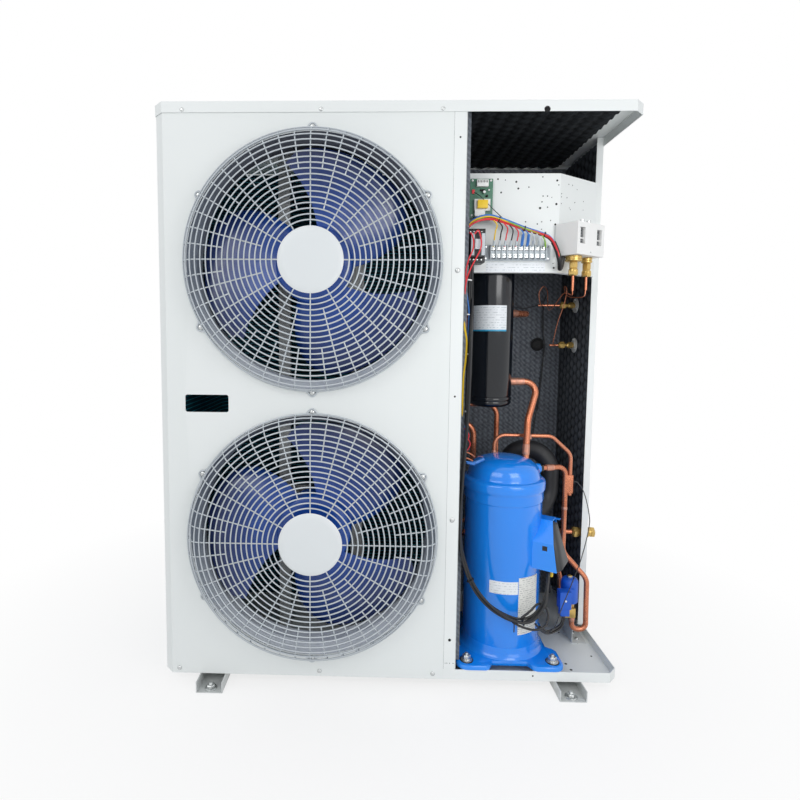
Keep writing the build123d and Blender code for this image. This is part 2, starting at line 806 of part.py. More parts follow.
def solenoid_feed():
    """From the coil's liquid side down behind the shell and forward into the solenoid valve."""
    inlet_y = solenoid_y + solenoid_body / 2 + seat
    inlet_z = solenoid_low + solenoid_block / 2
    y = behind(232)
    route = [(bay_left + seat, y, 632), (across(161), y, 632), (across(161), y, 214),
             (across(329), behind(210), 208), (solenoid_x, behind(200), inlet_z),
             (solenoid_x, inlet_y, inlet_z)]
    return tube(route, [30, 30, 30, 16], liquid_pipe)


# ------------------------------------------------------------------ valves and ports
def solenoid_valve():
    """A square brass body with a round stem that carries the coil."""
    half = solenoid_body / 2
    x, y, top = solenoid_x, solenoid_y, solenoid_low + solenoid_block
    body = block(x - half, x + half, y - half, y + half, solenoid_low, top)
    body += hexagon((x, y, top), (x, y, solenoid_coil_low - seat), 22)
    return body + rod((x, y, solenoid_low), (x, y, solenoid_coil_high + 6), solenoid_stem)


def solenoid_coil():
    """The moulded coil on the valve's stem, with its plug on the front."""
    x, y, low, high = solenoid_x, solenoid_y, solenoid_coil_low, solenoid_coil_high
    section = chamfer(Rectangle(solenoid_coil_width, solenoid_coil_width).vertices(), 10)
    coil = Pos(x, y, low) * extrude(section, high - low)
    coil -= rod((x, y, low - 1), (x, y, high + 1), solenoid_stem + seat)
    front = y - solenoid_coil_width / 2
    return coil + block(x - 38, x - 10, front - 26, front + 2, low - 18, high - 18)


def valve_bracket():
    """An angle bracket standing on the pan beside the solenoid valve."""
    x = solenoid_x + solenoid_body / 2 + seat
    front = solenoid_y + 6
    upright = block(x, x + sheet, front, front + 68, pan_floor, solenoid_low + 22)
    return upright + block(x, x + 38, front, front + 68, pan_floor, pan_floor + sheet)


def service_valve(y, z):
    """A brass valve through the side wall: flare nut in the bay, body and cap outside."""
    inside = valve_stop + seat
    outside = half_width + valve_reach
    wall = half_width - panel_inset
    body = extrude(RegularPolygon(valve_body / 2, 12), outside - 12 - inside)
    body = Pos(inside, y, z) * Rot(0, 90, 0) * body
    body += hexagon((inside, y, z), (bay_right - seat, y, z), valve_body + 4)
    body += hexagon((wall + seat, y, z), (wall + 9, y, z), valve_body + 4)
    body += hexagon((outside - 13, y, z), (outside, y, z), valve_body)
    return body


def service_valves():
    return Compound([service_valve(y, z) for y, z in valve_places])


def gauge_ports():
    """Two access ports on the side lining, each with a round plate, a union and a short tube."""
    ports = []
    for z, tip in zip(gauge_heights, gauge_tips):
        port = Pos(bay_right - 2, gauge_y, z) * Rot(0, 90, 0) * extrude(RegularPolygon(20, 12), 2 - seat)
        port += hexagon((bay_right - 24, gauge_y, z), (bay_right - 2, gauge_y, z), 13)
        port += hexagon((bay_right - 44, gauge_y, z), (bay_right - 30, gauge_y, z), 15)
        ports.append(port + hexagon((tip, gauge_y, z), (bay_right - 20, gauge_y, z), 6))
    return Compound(ports)


# ------------------------------------------------------------------ electrical plate and its devices
def folded(points, thickness):
    """The outline of a strip of sheet bent along points, thickened to its left."""
    far = []
    for number, (x, y) in enumerate(points):
        normals = []
        for a, b in ((number - 1, number), (number, number + 1)):
            if a >= 0 and b < len(points):
                dx, dy = points[b][0] - points[a][0], points[b][1] - points[a][1]
                normals.append((-dy / hypot(dx, dy), dx / hypot(dx, dy)))
        nx, ny = sum(n[0] for n in normals), sum(n[1] for n in normals)
        scale = thickness * len(normals) / (nx * nx + ny * ny)
        far.append((x + nx * scale, y + ny * scale))
    return points + far[::-1]


def control_box():
    """A bent mounting plate from the partition to the side panel, flanged top and bottom."""
    bend = (plate_bend_x, plate_y)
    end = (plate_end_x, plate_end_y)
    left = bay_left + seat
    face = [(left, plate_y + plate_flange), (left, plate_y), bend, end, (plate_end_x + 9, side_front - seat)]
    box = prism(folded(face, sheet), plate_bottom, plate_top)
    for z in (plate_bottom, plate_top - sheet):
        box += prism(folded([(left, plate_y), bend, end], plate_flange), z, z + sheet)
    return box


def terminal_block():
    """A ten-way screw terminal strip with a wall between every two ways."""
    back = plate_y - seat
    low, high = strip_bottom, strip_bottom + strip_height
    first = strip_left + strip_end
    pitch = (strip_width - 2 * strip_end) / strip_ways
    pieces = [block(strip_left, strip_left + strip_width, back - 8, back, low, high),
              block(first, first + strip_ways * pitch, back - 16, back - 8, low + 8, high - 8)]
    for number in range(strip_ways + 1):
        x = first + number * pitch
        pieces.append(block(x - 0.8, x + 0.8, back - 24, back - 8, low + 3, high - 3))
    return joined(pieces)


def controller_board():
    """A small circuit board on four pillars with its relay, connector and capacitor."""
    left, right = board_left, board_left + board_width
    low, high = board_bottom, board_bottom + board_height
    back = plate_y - seat
    face = back - board_pillar - sheet
    pieces = [block(left, right, face, back - board_pillar, low, high)]
    for x in (left + 5, right - 5):
        for z in (low + 5, high - 5):
            pieces.append(block(x - 2, x + 2, back - board_pillar, back, z - 2, z + 2))
    pieces.append(block(left + 9, left + 41, face - 8, face, low + 3, low + 36))
    pieces.append(block(left + 13, left + 36, face - 18, face - 8, low + 14, low + 34))
    pieces.append(block(left + 14, right - 8, face - 10, face, high - 20, high - 8))
    return joined(pieces)


def contactor_spot():
    """The contactor's left side, front and underside."""
    left = bay_left + 2.6
    front = plate_y - seat - contactor_depth
    return left, front, plate_bottom + 17


def contactor_body():
    """A stepped block with a slot for its moving armature."""
    left, front, low = contactor_spot()
    right, high = left + contactor_width, low + contactor_height
    body = block(left, right, front + 18, plate_y - seat, low, high)
    body += block(left + 4, right - 4, front, front + 18, low + 14, high - 14)
    middle, z = (left + right) / 2, (low + high) / 2
    half = armature_width / 2 + seat
    rise = armature_height / 2 + seat
    back = front + 12 + armature_stroke
    return body - block(middle - half, middle + half, front - 1, back, z - rise, z + rise)


def contactor_armature():
    left, front, low = contactor_spot()
    middle = left + contactor_width / 2
    z = low + contactor_height / 2
    half = armature_width / 2
    rise = armature_height / 2
    return block(middle - half, middle + half, front - armature_stroke, front + 11, z - rise, z + rise)


# ------------------------------------------------------------------ dual pressure switch
def on_switch(shape):
    """Places a part drawn on a plate facing the front, X from the bend, on the turned plate."""
    return Pos(plate_bend_x, plate_y, 0) * Rot(0, 0, plate_angle) * shape


def pressure_switch_case():
    case = block(switch_left, switch_right, switch_front, -seat, switch_bottom, switch_top)
    for middle in scale_middles:
        left, right = middle - scale_width / 2, middle + scale_width / 2
        case -= block(left, right, switch_front - 1, switch_front + scale_depth, scale_low, scale_top)
    bottom = switch_top - adjuster_height - 3
    for x, y in adjuster_places:
        case -= rod((x, y, bottom), (x, y, switch_top + 1), adjuster_radius + shaft_fit)
    return on_switch(case)


def pressure_adjuster(place):
    """A slotted spindle that sets the switching pressure."""
    x, y = place
    low, high = switch_top - adjuster_height, switch_top + adjuster_height
    spindle = rod((x, y, low), (x, y, high), adjuster_radius)
    return on_switch(spindle - block(x - 6, x + 6, y - 0.8, y + 0.8, high - 2.5, high + 1))


def pressure_pointer(middle):
    """The pointer that the spindle carries up and down its scale."""
    half = scale_width / 2 - 0.5
    back = switch_front + scale_depth - seat
    high = pointer_rest + pointer_size
    return on_switch(block(middle - half, middle + half, back - pointer_size, back, pointer_rest, high))


def pressure_switch_bellows():
    """The two brass bellows under the case, each with its union nut."""
    parts = []
    for (x, y), radius in zip(bellows_places, (low_bellows_radius, high_bellows_radius)):
        low = switch_bottom - seat
        part = rod((x, y, low - 13), (x, y, low), radius)
        part += hexagon((x, y, low - 27), (x, y, low - 13), 17)
        part += hexagon((x, y, low - 44), (x, y, low - 24), 20)
        parts.append(on_switch(part))
    return Compound(parts)


def capillary_tubes():
    """Two thin tubes from the bellows to the access ports."""
    tubes = []
    slack = ((14, 60, 26), (8, 66, 30))
    for (x, y), z, tip, (sway, fall, back) in zip(bellows_places, gauge_heights, gauge_tips, slack):
        px = plate_bend_x + x * cos(plate_turn) - y * sin(plate_turn)
        py = plate_y + x * sin(plate_turn) + y * cos(plate_turn)
        start = switch_bottom - 44 - 2 * seat
        low = start - fall
        route = [(px, py, start), (px + 2, py + 6, low), (px - sway, py + 90, (low + z) / 2 - 12),
                 (tip - back, gauge_y - 34, z - 8), (tip - back + 6, gauge_y, z), (tip - seat, gauge_y, z)]
        tubes.append(tube(route, open_bends(route), capillary, 4))
    return Compound(tubes)


# ------------------------------------------------------------------ wiring
def main_harness():
    """The loom that arches over the terminals and drops into the pressure switch."""
    y = plate_y - 28
    z = plate_bottom
    route = [(across(49), y - 2, z + 94), (across(63), y - 4, z + 116), (across(97), y - 2, z + 125),
             (across(139), y, z + 112), (across(183), y, z + 96), (across(219), y - 2, z + 80),
             (across(241), y - 6, z + 50), (across(251), y - 8, z + 16),
             (across(260), plate_y - 10, z + 2), (across(260), plate_y - 10, switch_bottom - seat)]
    return tube(route, open_bends(route), harness)


def compressor_cable():
    """The black bundle from the contactor down the post and round in front of the shell."""
    turn = radians(box_angle)
    out, along = shell_radius + 26, -12
    end_x = compressor_x + out * cos(turn) - along * sin(turn)
    end_y = compressor_y + out * sin(turn) + along * cos(turn)
    left, front, low = contactor_spot()
    x, y = left + 14, front + 34
    lane = panel_face + post_depth - 8
    route = [(x, y, low - seat), (x, y, low - 50), (across(49), lane, low - 145),
             (across(48), lane - 1, 640), (across(42), lane - 2, 480), (across(43), lane - 2, 330),
             (across(67), lane - 4, 240), (across(113), lane - 4, 186), (across(169), lane - 3, 166),
             (across(217), lane + 4, 184), (end_x, end_y, 226), (end_x, end_y, box_low - seat)]
    return tube(route, open_bends(route), cable)


def control_leads():
    """The solenoid's lead and the thin sensor wire, both joining the black bundle."""
    x = solenoid_x - 24
    y = solenoid_y - 34
    lead = [(x, y, solenoid_coil_low - 18 - seat), (x, y, 92), (x - 34, y - 34, 82), (x - 74, y - 74, 104),
            (x - 96, y - 88, 146)]
    wire = [(clip_edge + seat, riser_y, 440), (across(355), riser_y, 440), (across(369), behind(160), 412),
            (across(377), behind(160), 360), (across(369), behind(154), 286),
            (across(329), behind(102), 214), (across(281), behind(80), 190), (across(229), behind(34), 186)]
    return Compound([tube(lead, open_bends(lead), coil_lead), tube(wire, open_bends(wire), capillary, 4)])


# ------------------------------------------------------------------ the whole unit
PARTS = {
    "base_pan": base_pan,
    "left_foot_rail": lambda: foot_rail(-1),
    "right_foot_rail": lambda: foot_rail(1),
    "top_cover": top_cover,
    "front_panel": front_panel,
    "front_post": front_post,
    "mid_partition": mid_partition,
    "right_side_panel": right_side_panel,
    "rear_panel": rear_panel,
    "top_foam": top_foam,
    "rear_foam": rear_foam,
    "side_foam": side_foam,
    "partition_foam": partition_foam,
    "condenser_fins": condenser_fins,
    "coil_end_plates": coil_end_plates,
    "motor_frame": motor_frame,
    "upper_bellmouth": lambda: bellmouth(upper_fan_z),
    "lower_bellmouth": lambda: bellmouth(lower_fan_z),
    "upper_fan_motor": lambda: fan_motor(upper_fan_z),
    "lower_fan_motor": lambda: fan_motor(lower_fan_z),
    "upper_fan_shaft": lambda: fan_shaft(upper_fan_z),
    "lower_fan_shaft": lambda: fan_shaft(lower_fan_z),
    "upper_fan": lambda: fan(upper_fan_z),
    "lower_fan": lambda: fan(lower_fan_z),
    "upper_fan_guard": lambda: fan_guard(upper_fan_z),
    "lower_fan_guard": lambda: fan_guard(lower_fan_z),
    "compressor_shell": compressor_shell,
    "compressor_foot_plate": compressor_foot_plate,
    "compressor_grommets": compressor_grommets,
    "compressor_bolts": compressor_bolts,
    "terminal_box": terminal_box,
    "oil_separator": oil_separator,
    "separator_bracket": separator_bracket,
    "discharge_line": discharge_line,
    "hot_gas_line": hot_gas_line,
    "arch_line": arch_line,
    "injection_line": injection_line,
    "suction_line": suction_line,
    "coil_lines": coil_lines,
    "solenoid_feed": solenoid_feed,
    "solenoid_valve": solenoid_valve,
    "solenoid_coil": solenoid_coil,
    "valve_bracket": valve_bracket,
    "service_valves": service_valves,
    "gauge_ports": gauge_ports,
    "control_box": control_box,
    "terminal_block": terminal_block,
    "controller_board": controller_board,
    "contactor_body": contactor_body,
    "contactor_armature": contactor_armature,
    "pressure_switch_case": pressure_switch_case,
    "pressure_switch_bellows": pressure_switch_bellows,
    "low_pressure_adjuster": lambda: pressure_adjuster(adjuster_places[0]),
    "high_pressure_adjuster": lambda: pressure_adjuster(adjuster_places[1]),
    "low_pressure_pointer": lambda: pressure_pointer(scale_middles[0]),
    "high_pressure_pointer": lambda: pressure_pointer(scale_middles[1]),
    "capillary_tubes": capillary_tubes,
    "main_harness": main_harness,
    "compressor_cable": compressor_cable,
    "control_leads": control_leads,
}

os.makedirs("parts", exist_ok=True)
for name, make in PARTS.items():
    export_step(make(), f"parts/{name}.step")
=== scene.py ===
"""Looks, light and camera for the condensing unit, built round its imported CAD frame.

Sizes and places are in millimetres in the row frame, as in the CAD source. The Piece class turns
them into Blender's metres. The front of the unit faces -Y.
"""

import json
from math import cos, pi, radians, sin, sqrt, tan

import bmesh
import bpy
from mathutils import Matrix, Vector


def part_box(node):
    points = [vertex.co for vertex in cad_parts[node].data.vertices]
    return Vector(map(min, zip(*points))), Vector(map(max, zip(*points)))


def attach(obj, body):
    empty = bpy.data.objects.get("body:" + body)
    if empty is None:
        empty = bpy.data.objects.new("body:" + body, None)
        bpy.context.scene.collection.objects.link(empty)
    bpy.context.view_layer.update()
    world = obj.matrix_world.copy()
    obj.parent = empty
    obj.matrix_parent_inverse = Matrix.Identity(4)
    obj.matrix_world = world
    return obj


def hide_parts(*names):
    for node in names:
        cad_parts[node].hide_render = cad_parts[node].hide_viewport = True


MM = 0.001
ROOT = "cabinet"

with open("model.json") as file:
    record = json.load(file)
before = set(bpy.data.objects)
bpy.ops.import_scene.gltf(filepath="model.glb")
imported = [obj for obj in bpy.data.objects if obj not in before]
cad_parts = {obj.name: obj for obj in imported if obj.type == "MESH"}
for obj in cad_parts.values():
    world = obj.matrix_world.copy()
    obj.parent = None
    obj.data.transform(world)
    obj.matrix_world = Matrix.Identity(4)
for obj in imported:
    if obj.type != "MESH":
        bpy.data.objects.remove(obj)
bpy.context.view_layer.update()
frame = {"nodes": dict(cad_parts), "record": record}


def node_box(name):
    """Lowest and highest corner of a CAD node, in millimetres."""
    low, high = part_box(name)
    return low / MM, high / MM


# ------------------------------------------------------------------ sizes shared with the CAD source
panel_face = node_box("front_panel")[0].y
pan_front = node_box("base_pan")[0].y
shell_foot = node_box("compressor_shell")[0].z
fan_x = -178.0
fan_levels = {"upper": 967.0, "lower": 354.0}
throat_radius = 262.0
guard_radius = 281.0
guard_depth = 47.0
disc_radius = 70.0
hub_radius = 87.0
hub_depth = 62.0
shell_x, shell_y = 279.0, -95.0
shell_radius = 92.0
shell_port = Vector((0.966, 0.26, 0))   # the way that the port on the shell's side points
shell_port_height = 483.0
foot_bolt_x, foot_bolt_y = 408.0, 235.0
mount_reach = 99.0                      # from the shell's axis to its bolts, sideways and in depth
bend_x, bend_y = 382.0, -124.0          # the upright fold of the control plate
plate_turn = radians(34.5)              # how far the plate turns back past its fold
device_back = bend_y - 0.3              # where the devices on the plate begin
terminal_start, terminal_pitch = 228.3, 12.6
bellows_x, bellows_y = (15.0, 65.0), -30.3
switch_place = Matrix.Translation((bend_x, bend_y, 0)) @ Matrix.Rotation(plate_turn, 4, "Z")


def terminal_x(number):
    return terminal_start + terminal_pitch * number


# ------------------------------------------------------------------ materials
def linear(colour):
    """The linear values of a #rrggbb colour."""
    channels = [int(colour[i:i + 2], 16) / 255 for i in (1, 3, 5)]
    return [c / 12.92 if c <= 0.04045 else ((c + 0.055) / 1.055) ** 2.4 for c in channels]


def shaded(colour, factor):
    """A linear colour made darker or lighter."""
    return (*[min(1.0, c * factor) for c in colour], 1.0)


def plainly_seen(nodes, links):
    """1 for the rays of the camera, gloss and glass, which see plain white round the object."""
    path = nodes.new("ShaderNodeLightPath")
    seen = path.outputs["Is Camera Ray"]
    for ray in ("Is Glossy Ray", "Is Transmission Ray"):
        either = nodes.new("ShaderNodeMath")
        either.operation = "MAXIMUM"
        links.new(seen, either.inputs[0])
        links.new(path.outputs[ray], either.inputs[1])
        seen = either.outputs[0]
    return seen


class Look:
    """One node material: patchy colour, fine grain in roughness and bump, and worn edges."""

    def __init__(self, name, colour, roughness, metallic=0.0, coat=0.0, patches=9.0, contrast=0.10,
                 grain=700.0, bump=0.04, specular=0.5, edge=0.0, second=None):
        self.material = bpy.data.materials.new(name)
        self.material.use_nodes = True
        self.nodes = self.material.node_tree.nodes
        self.links = self.material.node_tree.links
        self.shader = self.nodes["Principled BSDF"]
        self.colour = linear(colour)
        self.shader.inputs["Base Color"].default_value = (*self.colour, 1.0)
        self.shader.inputs["Roughness"].default_value = roughness
        self.shader.inputs["Metallic"].default_value = metallic
        self.shader.inputs["Specular IOR Level"].default_value = specular
        self.shader.inputs["Coat Weight"].default_value = coat
        self.shader.inputs["Coat Roughness"].default_value = 0.08
        self.place = self.nodes.new("ShaderNodeTexCoord").outputs["Object"]
        other = self.colour if second is None else linear(second)
        self.recolour(self.mix(self.noise(patches, 4.0), shaded(self.colour, 1 - contrast),
                               shaded(other, 1 + contrast / 2)))
        if edge:
            self.cover(self.pointed(0.52, 0.60, edge), shaded(self.colour, 1.5))
        fine = self.noise(grain, 2.0)
        rough = self.remap(fine, 0.3, 0.7, roughness * 0.86, min(1.0, roughness * 1.14))
        self.links.new(rough, self.shader.inputs["Roughness"])
        self.bump_node = self.nodes.new("ShaderNodeBump")
        self.set_height(fine, bump, 0.0006)
        self.links.new(self.bump_node.outputs["Normal"], self.shader.inputs["Normal"])

    def pattern(self, kind, **values):
        """A texture node over the object's own coordinates."""
        node = self.nodes.new(kind)
        for name, value in values.items():
            node.inputs[name].default_value = value
        self.links.new(self.place, node.inputs["Vector"])
        return node

    def noise(self, scale, detail, distortion=0.0):
        return self.pattern("ShaderNodeTexNoise", Scale=scale, Detail=detail,
                            Distortion=distortion).outputs["Fac"]

    def wave(self, direction, scale, distortion=0.0):
        node = self.pattern("ShaderNodeTexWave", Scale=scale, Distortion=distortion)
        node.wave_type = "BANDS"
        node.bands_direction = direction
        return node.outputs["Fac"]

    def remap(self, value, low, high, to_low, to_high):
        node = self.nodes.new("ShaderNodeMapRange")
        for name, number in (("From Min", low), ("From Max", high), ("To Min", to_low), ("To Max", to_high)):
            node.inputs[name].default_value = number
        self.links.new(value, node.inputs["Value"])
        return node.outputs["Result"]

    def count(self, operation, *values):
        """The result of a math node; each value is a number or a socket."""
        node = self.nodes.new("ShaderNodeMath")
        node.operation = operation
        for socket, value in zip(node.inputs, values):
            if isinstance(value, float):
                socket.default_value = value
            else:
                self.links.new(value, socket)
        return node.outputs[0]

    def mix(self, factor, first, second):
        """Mixes two colours, each a constant or a socket."""
        node = self.nodes.new("ShaderNodeMix")
        node.data_type = "RGBA"
        self.links.new(factor, node.inputs[0])
        for socket, value in ((node.inputs[6], first), (node.inputs[7], second)):
            if isinstance(value, bpy.types.NodeSocket):
                self.links.new(value, socket)
            else:
                socket.default_value = value
        return node.outputs[2]

    def geometry(self, name):
        return self.nodes.new("ShaderNodeNewGeometry").outputs[name]

    def pointed(self, low, high, most):
        """Grows from 0 to most between two degrees of pointiness: edges upward, hollows downward."""
        return self.remap(self.geometry("Pointiness"), low, high, 0.0, most)

    def axis(self, vector, name):
        node = self.nodes.new("ShaderNodeSeparateXYZ")
        self.links.new(vector, node.inputs[0])
        return node.outputs[name]

    def recolour(self, tint):
        self.tint = tint
        self.links.new(tint, self.shader.inputs["Base Color"])

    def cover(self, share, colour):
        """Lays a #rrggbb or linear colour over the tint, as far as share says."""
        over = (*linear(colour), 1.0) if isinstance(colour, str) else colour
        self.recolour(self.mix(share, self.tint, over))

    def set_height(self, socket, strength, distance):
        self.links.new(socket, self.bump_node.inputs["Height"])
        self.bump_node.inputs["Strength"].default_value = strength
        self.bump_node.inputs["Distance"].default_value = distance


def fin_look():
    """Coated fins with painted shade between them, and painted highlights as bright level lines where the tube
    rows catch light.
    """
    look = Look("coated_fins", "#0e4f63", 0.40, metallic=0.3, patches=2.0, contrast=0.15, grain=90.0)
    rows = look.remap(look.wave("Z", 31.4), 0.90, 0.98, 0.0, 1.0)
    lines = look.wave("X", 210.0)
    # Painted shade in the gaps between the fins.
    look.cover(look.remap(lines, 0.2, 0.8, 0.0, 0.8), "#04141c")
    breaks = look.remap(look.noise(7.0, 2.0), 0.30, 0.70, 0.35, 1.0)
    # Painted highlights along the tube rows, broken up by noise.
    look.cover(look.count("MULTIPLY", rows, breaks), "#5cdcf2")
    look.set_height(lines, 0.5, 0.0008)
    return look


def galvanised_look():
    """Zinc-coated sheet with the spangle of its crystals."""
    look = Look("zinc_sheet", "#d3d6d5", 0.42, metallic=0.15, patches=40.0, contrast=0.16, grain=260.0,
                bump=0.03)
    cells = look.pattern("ShaderNodeTexVoronoi", Scale=85.0)
    grey = look.nodes.new("ShaderNodeRGBToBW")
    look.links.new(cells.outputs["Color"], grey.inputs["Color"])
    look.cover(look.remap(grey.outputs["Val"], 0.2, 0.8, 0.0, 0.5), shaded(look.colour, 0.8))
    return look


def copper_look():
    """Drawn copper, pink where clean and darker orange where it has been heated."""
    look = Look("copper_tube", "#d9967a", 0.27, metallic=0.7, patches=9.0, contrast=0.12, grain=700.0,
                bump=0.01, second="#bf6a42")
    look.cover(look.remap(look.noise(9.0, 2.0, 0.6), 0.55, 0.72, 0.0, 0.5), "#8f4526")
    return look


def fan_look():
    """Glossy blue plastic, with painted shade that deepens it to navy toward the blade tips."""
    look = Look("fan_plastic", "#132164", 0.24, coat=0.25, patches=6.0, contrast=0.4, grain=300.0,
                second="#1f5cc0")
    sideways = look.count("SUBTRACT", look.axis(look.place, "X"), fan_x * MM)
    height = look.axis(look.place, "Z")
    upright = look.count("MINIMUM", *[look.count("ABSOLUTE", look.count("SUBTRACT", height, z * MM))
                                      for z in fan_levels.values()])
    squares = [look.count("MULTIPLY", offset, offset) for offset in (sideways, upright)]
    reach = look.count("SQRT", look.count("ADD", *squares))
    # Painted shade, growing with the distance from the fan's axis.
    look.cover(look.remap(reach, 0.10, 0.25, 0.0, 0.8), "#070b2b")
    return look


def bellmouth_look():
    """Grey moulding, with painted light where it faces up and painted shade where it faces down."""
    look = Look("bellmouth_grey", "#848c95", 0.50, patches=5.0, contrast=0.10)
    facing = look.axis(look.geometry("Normal"), "Z")
    # Painted shade on the faces that point down.
    look.cover(look.remap(facing, -0.1, -0.8, 0.0, 0.8), "#3b3b42")
    # Painted light on the faces that point up.
    look.cover(look.remap(facing, 0.1, 0.7, 0.0, 0.85), "#d5dae0")
    return look


def foam_look(name, base, streak, fleck):
    """Dark cellular foam with a slanting mottle, fine pale flecks and painted shade in its hollows."""
    look = Look(name, base, 0.94, patches=34.0, contrast=0.5, grain=700.0, bump=0.6, specular=0.2)
    look.cover(look.remap(look.wave("DIAGONAL", 46.0, 5.0), 0.3, 0.9, 0.0, 0.4), streak)
    look.cover(look.remap(look.noise(480.0, 2.0), 0.62, 0.72, 0.0, 0.5), fleck)
    # Painted shade in the hollows of the foam.
    look.cover(look.pointed(0.505, 0.455, 0.92), "#0c0d0f")
    return look


def printed_look(name, colour, ink, scale):
    """A blank form: faint level rules broken into short strokes, with nothing legible."""
    look = Look(name, colour, 0.36, patches=20.0, contrast=0.03, grain=400.0)
    rules = look.remap(look.wave("Z", scale), 0.80, 0.92, 0.0, 1.0)
    breaks = look.remap(look.noise(230.0, 1.0), 0.46, 0.54, 0.0, 0.7)
    look.cover(look.count("MULTIPLY", rules, breaks), ink)
    return look


def floor_look():
    """A white floor that the camera, gloss and glass see nearly plain, with the soft shadow kept."""
    look = Look("studio_floor", "#f4f4f4", 0.75, patches=1.5, contrast=0.02, grain=60.0, bump=0.01)
    away = look.nodes.new("ShaderNodeVectorMath")
    away.operation = "LENGTH"
    look.links.new(look.place, away.inputs[0])
    white = look.remap(away.outputs["Value"], 0.35, 1.3, 0.72, 1.0)
    share = look.count("MULTIPLY", plainly_seen(look.nodes, look.links), white)
    plain = look.nodes.new("ShaderNodeEmission")
    plain.inputs["Color"].default_value = (1.0, 1.0, 1.0, 1.0)
    plain.inputs["Strength"].default_value = 1.0
    blend = look.nodes.new("ShaderNodeMixShader")
    for socket, source in zip(blend.inputs, (share, look.shader.outputs[0], plain.outputs[0])):
        look.links.new(source, socket)
    look.links.new(blend.outputs[0], look.nodes["Material Output"].inputs["Surface"])
    return look


looks = {
    "casing_paint": Look("casing_paint", "#e3e7e5", 0.46, patches=2.0, contrast=0.03, grain=1500.0, bump=0.05,
                         edge=0.2),
    "galvanised": galvanised_look(),
    "guard_wire": Look("guard_wire", "#bcc2c6", 0.36, metallic=0.1, patches=14.0, contrast=0.08, grain=900.0,
                       edge=0.2),
    "guard_disc": Look("guard_disc", "#dde1e2", 0.42, patches=6.0, contrast=0.03, grain=1300.0, edge=0.2),
    "bellmouth_grey": bellmouth_look(),
    "fan_plastic": fan_look(),
    "steel": Look("zinc_steel", "#c9cccc", 0.28, metallic=0.85, patches=60.0, contrast=0.12, grain=500.0),
    "motor_paint": Look("motor_paint", "#2b2d30", 0.45, patches=12.0, contrast=0.15, edge=0.3),
    "fins": fin_look(),
    "foam": foam_look("sound_foam", "#6c7178", "#8b9199", "#a8adb5"),
    "foam_cells": foam_look("egg_crate_foam", "#585d63", "#585d63", "#777c83"),
    # A darker copy of the foam for the ceiling lining: painted shade under the lid.
    "foam_shade": foam_look("ceiling_foam_painted_shade", "#24272a", "#33373a", "#45494d"),
    "compressor_paint": Look("compressor_paint", "#1388f2", 0.17, coat=0.45, patches=5.0, contrast=0.08,
                             grain=220.0, bump=0.05, edge=0.15),
    "black_paint": Look("black_paint", "#10151c", 0.15, coat=0.12, patches=7.0, contrast=0.2, grain=260.0),
    "rubber": Look("black_rubber", "#141517", 0.72, patches=30.0, contrast=0.2),
    "lagging": Look("foam_sleeve", "#2a2b2e", 0.50, patches=20.0, contrast=0.3, grain=500.0, bump=0.3),
    "copper": copper_look(),
    "braze": Look("brazed_joint", "#b9a79c", 0.36, metallic=0.6, patches=120.0, contrast=0.5, grain=400.0,
                  bump=0.3, second="#d98f72"),
    "brass": Look("brass_fitting", "#d2b168", 0.24, metallic=0.65, patches=50.0, contrast=0.15, grain=500.0),
    "white_plastic": Look("white_plastic", "#ececea", 0.40, patches=6.0, contrast=0.03, grain=900.0),
    "grey_plastic": Look("grey_plastic", "#c3cbd0", 0.46, patches=8.0, contrast=0.06, grain=900.0),
    "black_plastic": Look("black_plastic", "#15161a", 0.42, patches=12.0, contrast=0.2),
    "circuit_board": Look("circuit_board", "#4d8068", 0.40, patches=90.0, contrast=0.4, grain=600.0),
    "cable": Look("black_sheath", "#17181b", 0.42, patches=40.0, contrast=0.25),
    "red_plastic": Look("red_plastic", "#e0303a", 0.35, patches=30.0, contrast=0.1),
    "blue_plastic": Look("blue_plastic", "#1b5fcc", 0.34, patches=25.0, contrast=0.12),
    "wire_blue": Look("wire_blue", "#3d7fd0", 0.34, patches=25.0, contrast=0.12),
    "yellow_plastic": Look("yellow_plastic", "#f0c81e", 0.36, patches=25.0, contrast=0.1),
    "green_plastic": Look("green_plastic", "#86b83c", 0.40, patches=25.0, contrast=0.1),
    "blank_label": printed_look("blank_label", "#e9edf0", "#a4adb3", 52.0),
    "dense_label": printed_look("dense_label", "#e4e4de", "#4c5155", 62.0),
    "label_band": Look("label_band", "#2f9fc8", 0.34, patches=20.0, contrast=0.06),
    # Near black: painted shade where holes, slots and gaps show dark, and the colour of some small dark parts.
    "dark_gap": Look("dark_gap", "#0c0d0f", 0.80, patches=20.0, contrast=0.3),
    "floor": floor_look(),
}

for entry in frame["record"]["subparts"]:
    node = frame["nodes"][entry["node"]]
    node.data.materials.clear()
    node.data.materials.append(looks[entry["material_slot"]].material)


